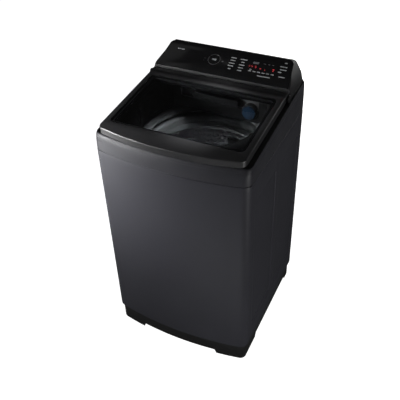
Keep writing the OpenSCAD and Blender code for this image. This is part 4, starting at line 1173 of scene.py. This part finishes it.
def make_dispenser():
    """Grey recess behind the rear wall, with a mouth for the drawer and a boss for the cap."""
    y0 = BACK_WALL_Y + 1.2
    outer = round_box(WINDOW_X[0] + 1, WINDOW_Z[0] + 1, WINDOW_X[1] - 1, WINDOW_Z[1] - 1, 5, 5)
    mouth = round_box(DRAWER_X[0] - 1.2, DRAWER_Z[0] - 1.2, DRAWER_X[1] + 1.2, DRAWER_Z[1] + 1.2, 2, 3)
    front = upright(plate(outer, [mouth], -3, 0, 0.8, 0.6), BACK_WALL_Y + 12)
    wall = 2.2
    tube = upright(plate(outer, [inset_outline(outer, wall)], -80, 0), BACK_WALL_Y + 5)
    ledges = [slab((WINDOW_X[0] + 2, y0, z - 0.9), (WINDOW_X[1] - 2, y0 + 12, z + 0.9))
              for z in (WINDOW_Z[0] + 2.6, WINDOW_Z[1] - 3)]
    back_plate = upright(plate(outer, (), -3, 0), 203)
    boss = turned([(0, 26), (0.8, 27.6), (7, 28), (44, 28), (45, 27)],
                  (CAP_X, BACK_WALL_Y - 6, CAP_Z), REARWARD, 56)
    piece("dispenser_recess", joined(front, tube, back_plate, *ledges), "cabinet", RECESS,
          ["dispenser_housing"])
    piece("dispenser_boss", boss, "cabinet", DECK_BLACK, ["dispenser_housing"])


def make_drawer():
    x0, x1 = DRAWER_X
    y0, y1 = DRAWER_Y
    z0, z1 = DRAWER_Z
    tray = round_box(x0, y0 + 3, x1, y1, 3, 4)
    cells = [round_box(x0 + 2, y0 + 5, -4, y1 - 2, 4, 4), round_box(0, y0 + 5, x1 - 2, y1 - 2, 4, 4)]
    walls = plate(tray, cells, z0 + 2, z1 - 0.4, 0.4, 0.5)
    floor = prism(tray, z0 + 0.1, z0 + 2.4, 0.4)
    grip = round_box(-40, z1 - 8, 20, z1 - 3, 2.4, 4)
    face = upright(plate(round_box(x0, z0, x1, z1, 3, 4), [grip], -2.6, 0, 1, 0.5), y0 + 0.1)
    back = slab((-42, y0 + 2.4, z1 - 10), (22, y0 + 3.4, z1 - 1.5))
    ribs = [slab((x, y0, z0 + 4), (x + 1.2, y0 + 1, z0 + 12)) for x in (-80, -60, 40, 60)]
    piece("detergent_tray", joined(walls, floor, face, back, *ribs), "drawer", DRAWER_DARK,
          ["detergent_drawer"])


def make_cap():
    """Round blue cap: a domed middle in a toothed ring, with a plug behind."""
    front = BACK_WALL_Y - 12.9
    ring_profile = [(0, 17.5), (0.4, 19), (0.2, 21), (0.6, 23), (1.8, 24), (5.5, 24), (6.4, 23), (6.5, 12)]
    ring = turned(ring_profile, (CAP_X, front, CAP_Z), REARWARD, 64)
    plug = turned([(0, 13), (6, 15), (17, 15), (18, 14)], (CAP_X, front + 6.8, CAP_Z), REARWARD)
    teeth = [rod((CAP_X + 23.4 * c, front + 1.6, CAP_Z + 23.4 * s),
                 (CAP_X + 23.4 * c, front + 5.6, CAP_Z + 23.4 * s), 0.55) for c, s in around(24)]
    piece("softener_cap_ring", joined(ring, plug, *teeth), "cap", BLUE, ["softener_cap"])
    dome = turned([(-0.1, 3), (0.05, 9), (0.5, 14), (1.2, 17), (2.4, 18.4), (4, 18.4)],
                  (CAP_X, front + 0.15, CAP_Z), REARWARD, 56)
    piece("softener_cap_dome", dome, "cap", BLUE_LIGHT, ["softener_cap"])


def smooth_profile(points):
    """Catmull-Rom curve through open profile points."""
    result, per = [], 5
    n = len(points)
    for i in range(n - 1):
        p0, p1 = Vector(points[max(0, i - 1)]), Vector(points[i])
        p2, p3 = Vector(points[i + 1]), Vector(points[min(n - 1, i + 2)])
        for k in range(per):
            t = k / per
            q = 0.5 * (2 * p1 + (p2 - p0) * t + (2 * p0 - 5 * p1 + 4 * p2 - p3) * t * t
                       + (3 * p1 - p0 - 3 * p2 + p3) * t ** 3)
            result.append(tuple(q))
    return result + [tuple(points[-1])]


def make_tub_ring():
    upper = smooth_profile([(245.5, 772), (240, 776.5), (233, 783), (227, 784.6), (219, 779),
                            (210, 771.5), (202.5, 766.2)])
    under = [(201.2, 763.4), (203.6, 762.2), (224, 779), (231, 779), (236, 771), (245.5, 770.2)]
    ring = lathe(upper + under, 168)
    ribs = [rod((206 * c, 206 * s, 767.6), (221 * c, 221 * s, 779.8), 0.9) for c, s in around(48)]
    screws = [turned([(0, 4.6), (2.2, 4.6), (3, 3.6)], (241 * c, 241 * s, 773.6), UP, 16)
              for c, s in around(12, 0.5)]
    piece("tub_cover_ring", joined(ring, *ribs, *screws), "tub", RING_GREY, ["tub_ring"])


def make_balance_ring():
    outer, inner, low, top = DRUM_R + 3, BALANCE_R, DRUM_RIM_Z, DRUM_TOP_Z
    inside = smooth_profile([(outer - 5, top), (inner + 22, top - 0.6), (inner + 10, top - 1),
                             (inner + 3, top - 5), (inner + 0.4, top - 11)])
    band = [(inner + 0.4, top - 24), (inner + 1.6, top - 25), (inner + 1.6, top - 27),
            (inner + 0.4, top - 28), (inner + 0.6, low + 12), (inner + 3, low + 4), (inner + 7, low + 0.4)]
    outside = [(outer - 1, low + 0.4), (outer, low + 2), (outer, top - 6), (outer - 1.4, top - 2.4)]
    piece("drum_balance_ring", lathe(inside + band + outside, 192), "drum", BALANCE_GREY,
          ["balance_ring"])


def punched(rings, kept):
    """Skin that faces up or inwards, through rings that run anticlockwise seen from above. A rule
    on (ring, column) says which faces it keeps."""
    points, faces = loft([list(reversed(ring)) for ring in rings])
    return points, [face for k, face in enumerate(faces) if kept(*divmod(k, len(rings[0])))]


def drum_relief(angle, z):
    """Pillows pressed into the drum's wall, staggered row by row."""
    row = (z - DRUM_FLOOR_Z) / PILLOW_H
    column = angle / 360 * PILLOWS + 0.5 * (math.floor(row) % 2)
    u, v = column % 1, row % 1
    return PILLOW_DEPTH * (math.sin(math.pi * u) * math.sin(math.pi * v)) ** 0.6


def make_drum():
    n = 432                           # places round the drum, with drain holes six apart
    wall_z = DRUM_FLOOR_Z + 14
    levels = [wall_z + (DRUM_RIM_Z - 2 - wall_z) * i / 108 for i in range(109)]
    foot = [(40, 1), (60, 1), (120, 1), (180, 1), (DRUM_R - 14, 1), (DRUM_R - 6, 3), (DRUM_R - 1.4, 8)]
    rings = [[(r * c, r * s, DRUM_FLOOR_Z + lift) for c, s in around(n)] for r, lift in foot]
    for z in levels:
        share = 0.9 * min(1, (z - wall_z) / 12)
        radii = [DRUM_R + 0.9 - share * drum_relief(360 * i / n, z) for i in range(n)]
        rings.append([(r * c, r * s, z) for r, (c, s) in zip(radii, around(n))])

    def kept(ring, column):
        row = ring - len(foot)
        return row <= 3 or row % 6 != 2 or column % 6 != (0 if (row // 6) % 2 else 3)
    piece("drum_wall", punched(rings, kept), "drum", DRUM_STEEL, ["drum_basket"],
          thickness=0.7, angle=60)


def make_filters():
    """Two lint filter boxes on the drum's wall, each with a column of bars."""
    def at(angle, r, z):
        t = math.radians(angle)
        return (r * math.cos(t), r * math.sin(t), z)

    for name, middle in (("rear", 82), ("front", 262)):
        rings = []
        for z, r in ((451, 221), (456, 213), (470, 208.6), (485, 208), (615, 210), (632, 211.5), (639, 216)):
            angles = [middle - FILTER_HALF + i * FILTER_HALF / 8 for i in range(17)]
            inner = [at(a, r, z) for a in angles]
            rings.append(inner + [at(a, DRUM_R - 0.4, z) for a in reversed(angles)])
        parts = [loft(rings, cap_start=True, cap_end=True)]
        for i in range(9):
            z = 496 + i * 15
            r = 208 + (z - 485) * 0.016
            bends = [at(middle - BAR_HALF + k * BAR_HALF / 4, r, z) for k in range(9)]
            parts += [rod(a, b, 1.3) for a, b in zip(bends, bends[1:])]
        piece("lint_filter_" + name, joined(*parts), "drum", LIGHT_PLASTIC, ["lint_filters"])


def make_pulsator():
    n, steps = 240, 44
    r0, r1 = 10, 178

    def height(r, t):
        """A hub, three swirled main blades with three low ones between them, and a raised rim."""
        share = (r - r0) / (r1 - r0)
        hub = 26 * ease((62 - r) / 40)
        dish = 14 * ease((share - 0.78) / 0.22)
        swirl = 0.9 * share
        wave = max(0, math.cos(3 * (t - swirl))) ** 3
        second = max(0, math.cos(3 * (t - swirl) + math.pi)) ** 8
        blade = (17 * wave + 7 * second) * ease((r - 34) / 30) * ease((160 - r) / 40)
        return DRUM_FLOOR_Z + 16 + hub + dish + blade
    rings = []
    for k in range(steps + 1):
        r = r0 + (r1 - r0) * k / steps
        rings.append([(r * math.cos(t), r * math.sin(t), height(r, t))
                      for t in (2 * math.pi * i / n for i in range(n))])

    def kept(row, column):
        return not (20 < row < 40 and row % 3 == 0 and column % 10 == 5)
    piece("wash_plate", punched(rings, kept), "pulsator", RING_GREY, ["pulsator"],
          thickness=3, angle=50)
    cap = turned([(0, 25.6), (2, 26), (4, 24.5), (6, 20), (6.9, 12), (7, 2)],
                 (0, 0, DRUM_FLOOR_Z + 41), UP, 56)
    grips = [rod((20 * c, 20 * s, DRUM_FLOOR_Z + 45.4), (25 * c, 25 * s, DRUM_FLOOR_Z + 43), 1.2)
             for c, s in around(12)]
    piece("wash_plate_cap", joined(cap, *grips), "pulsator", MID_PLASTIC, ["pulsator_cap"])


make_dispenser()
make_drawer()
make_cap()
make_tub_ring()
make_balance_ring()
make_drum()
make_filters()
make_pulsator()


# ---- Rear, connections and springs ----

PANEL_Y = REAR_Y + SHEET_T
SCREW_H = 2
DRAIN = (130, 104)
CORD = (-130, 134)
INLET = (222, 940)
SPRING_X = 232                        # springs stand in the four corners
SPRING_Y = 212
SPRING_Z = (263.8, 327.9)
BELLOWS = (130, 110)
BELLOWS_Z = (118, 224.7)


def behind(part, y):
    """From a plate drawn as seen from the rear to the rear wall: its top face looks backwards."""
    return moved(part, lambda p: (-p[0], y + p[2], p[1]))


def pressed_sheet(outline, holes, pads, y, depth):
    """Sheet with holes and raised, beaded pads, given in the plane seen from the rear."""
    parts = [behind(plate(outline, holes, -SHEET_T, 0, 0.5, 0.3), y)]
    for x0, z0, x1, z1 in pads:
        base = round_box(x0, z0, x1, z1, 9, 6)
        steps = ((0, -0.1), (0.4, 0.1), (1, depth * 0.4), (2, depth * 0.8), (3, depth * 0.95), (4.4, depth))
        rings = [at_z(inset_outline(base, d), z) for d, z in steps]
        parts.append(behind(loft(rings, cap_start=True, cap_end=True), y))
        for i in range(1, 5):
            z = z0 + (z1 - z0) * i / 5
            bead = prism(round_box(x0 + 16, z - 5, x1 - 16, z + 5, 4.9, 6), depth - 0.3, depth + 1.6, 1.5, 4)
            parts.append(behind(bead, y))
    return joined(*parts)


def make_rear_panel():
    pads = [(x - 55, 470, x + 55, 760) for x in (-150, 150)]
    holes = [round_box(-110, 170, 110, 420, 8, 5), ring_hole(-DRAIN[0], DRAIN[1], 17),
             ring_hole(-CORD[0], CORD[1], 9.3)]
    sheet = pressed_sheet(round_box(-250, 84, 250, 812, 5, 4), holes, pads, PANEL_Y, 2.8)
    piece("rear_sheet", sheet, "cabinet", ZINC, ["rear_panel"])
    vents = [round_box(-60, 250 + 14 * i, 60, 255 + 14 * i, 2.2, 4) for i in range(8)]
    cover_y = PANEL_Y + SHEET_T
    cover = behind(plate(round_box(-122, 158, 122, 432, 6, 5), vents, -SHEET_T, 0, 0.4, 0.3), cover_y)
    hoods = []
    for i in range(8):
        z = 255.5 + 14 * i
        ends = ((-60, 0.2), (-57, 0.8), (-52, 1), (52, 1), (57, 0.8), (60, 0.2))
        section = ((0, 0), (5, 0), (4, 0.5), (1.5, 1.1), (-1, 1.4), (-1.2, 1.1))
        rings = [[(x, z + up, out * s) for up, out in section] for x, s in ends]
        hoods.append(behind(loft(rings, cap_start=True, cap_end=True), cover_y))
    piece("service_cover_sheet", joined(cover, *hoods), "cabinet", ZINC, ["rear_service_cover"])
    slots = [round_box(-96 + 24 * i, z, -80 + 24 * i, z + 3, 1.4, 4) for z in (952, 928) for i in range(8)]
    slots += [ring_hole(x, 942, 2.2) for x in (-122, 122)]
    cap = behind(plate(round_box(-130, 914, 130, 970, 5, 5), slots, -2, 0, 0.7, 0.3), REAR_Y + 1.5)
    piece("console_rear_plate", cap, "cabinet", CONSOLE_BLACK, ["console_rear_cover"])


def screw_head(x, z, y0):
    """Pan head with a cross recess made of four raised quarters, on a washer rim."""
    h = SCREW_H
    head = turned([(0, 5), (0.35, 5), (0.4, 4.1), (h * 0.7, 3.9), (h * 0.9, 3.2), (h * 0.92, 2.2)],
                  (x, y0, z), REARWARD, 28)
    quarters = [turned([(0, 0.95), (h * 0.17, 0.9), (h * 0.2, 0.7)],
                       (x + 1.5 * c, y0 + h * 0.8, z + 1.5 * s), REARWARD, 10) for c, s in around(4, 0.5)]
    return joined(head, *quarters)


def make_screws():
    heads = [screw_head(x, z, PANEL_Y) for x in (-240, 240) for z in (100, 280, 460, 640, 796)]
    heads += [screw_head(x, z, PANEL_Y + SHEET_T) for x in (-112, 112) for z in (168, 422)]
    heads += [screw_head(x, 942, REAR_Y + 1.5) for x in (-122, 122)]
    piece("screw_heads", joined(*heads), "cabinet", ROD_STEEL, ["panel_screws"])


def make_connections():
    x, z = INLET
    thread = [(-12, 9), (-12, 12.4), (2, 12.6), (2, 13.2)]
    for i in range(9):
        thread += [(4 + 2.6 * i, 12.1), (4.5 + 2.6 * i, 12.1), (5.6 + 2.6 * i, 13.2), (6.2 + 2.6 * i, 13.2)]
    thread += [(28.8, 12), (30, 11.4), (30, 9.4), (29.4, 9), (2, 9), (2, 0.2)]
    spigot = turned(thread, (x, REAR_Y, z), REARWARD, 64)
    body = [prism(round_box(x - 17, 221, x + 17, 242, 3, 4), z - 15, z + 16, 1),
            turned([(0, 9), (6, 9), (7, 8), (8, 8)], (x - 8, 231, z + 16), UP, 28),
            turned([(0, 8), (2, 8), (2.4, 7.4), (4.4, 7.4), (4.8, 8), (16, 8)],
                   (x, 231, z - 30), UP, 28)]
    grid = []                         # bars of the inlet's strainer
    for i in range(1, 7):
        across = 2.6 * i - 8
        up = math.sqrt(max(0, 64 - across ** 2)) + 0.3
        grid.append(rod((x + across, REAR_Y + 8, z - up), (x + across, REAR_Y + 8, z + up), 0.4, 6))
    piece("inlet_spigot", joined(spigot, *body, *grid), "cabinet", LIGHT_PLASTIC, ["inlet_valve"])

    x, z = DRAIN
    outside = [(162, 11), (162, 14), (PANEL_Y, 14), (PANEL_Y, 19), (REAR_Y + 3.4, 19), (REAR_Y + 4, 18.2)]
    for i in range(5):
        y = REAR_Y + 7 + 4 * i
        outside += [(y, 12.9), (y + 0.4, 14), (y + 3.4, 13)]
    end = REAR_Y + 28
    outside += [(end - 0.6, 12.6), (end, 12), (end, 11.3), (end - 0.6, 11), (162.5, 11)]
    pipe = turned([(y - 162, r) for y, r in outside], (x, 162, z), REARWARD, 56)
    piece("drain_spigot", pipe, "cabinet", BASE_BLACK, ["drain_outlet"])

    x, z = CORD
    profile = [(-8, 4), (-8, 8.4), (-7, 9), (1.2, 9), (1.2, 12.6), (1.8, 13), (4.4, 13), (5, 12.2), (5, 9.4)]
    profile += [(5.2, 8), (5.8, 9), (6.6, 8), (7.2, 9), (8, 8.6), (8, 4.4), (7.4, 4), (-6, 4)]
    gland = turned([(d + 8, r) for d, r in profile], (x, REAR_Y - 8, z), REARWARD, 48)
    piece("cord_gland_bush", gland, "cabinet", RUBBER, ["cord_gland"])


def make_springs():
    turns, sides, wire, r = 5, 10, 1.8, 15
    z0, z1 = SPRING_Z
    steps = 48 * turns
    for place, sx, sy in (("front_left", -1, -1), ("front_right", 1, -1), ("rear_left", -1, 1),
                          ("rear_right", 1, 1)):
        rings = []
        for k in range(steps + 1):
            a = 2 * math.pi * turns * k / steps
            z = z0 + (z1 - z0) * k / steps
            rings.append([(sx * SPRING_X + (r + wire * c) * math.cos(a),
                           sy * SPRING_Y + (r + wire * c) * math.sin(a), z + wire * s)
                          for c, s in around(sides)])
        centre = (sx * SPRING_X, sy * SPRING_Y)
        piece("spring_" + place, loft(rings, cap_start=True, cap_end=True),
              ("cabinet", "tub", (*centre, 264), (*centre, 327)), ZINC, ["suspension_springs"],
              angle=40)


def make_bellows():
    """Corrugated rubber neck between pump and tub."""
    folds = 8
    z0, z1 = BELLOWS_Z
    step = (z1 - z0) / folds
    outside, inside = [], []
    for i in range(folds):
        z = z0 + step * i
        outside += [(18, z), (20.5, z + 0.14 * step), (23.4, z + 0.32 * step), (24, z + 0.5 * step),
                    (23.4, z + 0.68 * step), (20.5, z + 0.86 * step)]
        inside += [(15, z), (20.4, z + 0.5 * step)]
    outside.append((18, z1))
    inside.append((15, z1))
    tube = lathe(outside + list(reversed(inside)), 64, BELLOWS)
    piece("sump_neck", tube, ("cabinet", "tub", (*BELLOWS, z0 + 2), (*BELLOWS, z1 - 2)), RUBBER,
          ["sump_bellows"], angle=40)


make_rear_panel()
make_screws()
make_connections()
make_springs()
make_bellows()


# ---- CAD nodes that keep their shape ----

def dress_cad_nodes():
    looks = (
        (ENAMEL, "cabinet_shell"),
        (COVER, "top_skirt"),
        (ZINC, "rear_panel rear_service_cover corner_brackets suspension_springs drive_bracket rotor"),
        (ROD_STEEL, "suspension_rods panel_screws bearings spin_shaft drive_shaft"),
        (PIN_STEEL, "hinge_pins"),
        (DRUM_STEEL, "drum_basket"),
        (ALLOY, "gearcase drum_flange"),
        (COPPER, "stator"),
        (SILVER, "power_ring"),
        (BASE_BLACK, "base_frame base_guard lid_switch drain_outlet damper_cups clutch_actuator"),
        (BASE_BLACK, "clutch_coupling"),
        (DECK_BLACK, "top_deck hinge_brackets lid_inner_frame"),
        (CONSOLE_BLACK, "console_housing console_rear_cover"),
        (PANEL_BLACK, "control_fascia power_button"),
        (LID_BLACK, "lid_frame"),
        (MID_PLASTIC, "display_module board_case dispenser_housing pulsator_cap detergent_drawer"),
        (LIGHT_PLASTIC, "inlet_valve pressure_sensor drain_pump lint_filters lid_plunger"),
        (TUB_GREY, "outer_tub"),
        (RING_GREY, "tub_ring balance_ring pulsator"),
        (BOARD, "control_board"),
        (BLUE, "softener_cap"),
        (GLASS, "lid_glass"),
        (RUBBER, "inlet_hose pressure_tube sump_bellows cord_gland rear_feet"),
        (RUBBER, "foot_front_left foot_front_right shaft_seal"))
    for look, names in looks:
        for name in names.split():
            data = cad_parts[name].data
            data.materials.clear()
            data.materials.append(look)


dress_cad_nodes()
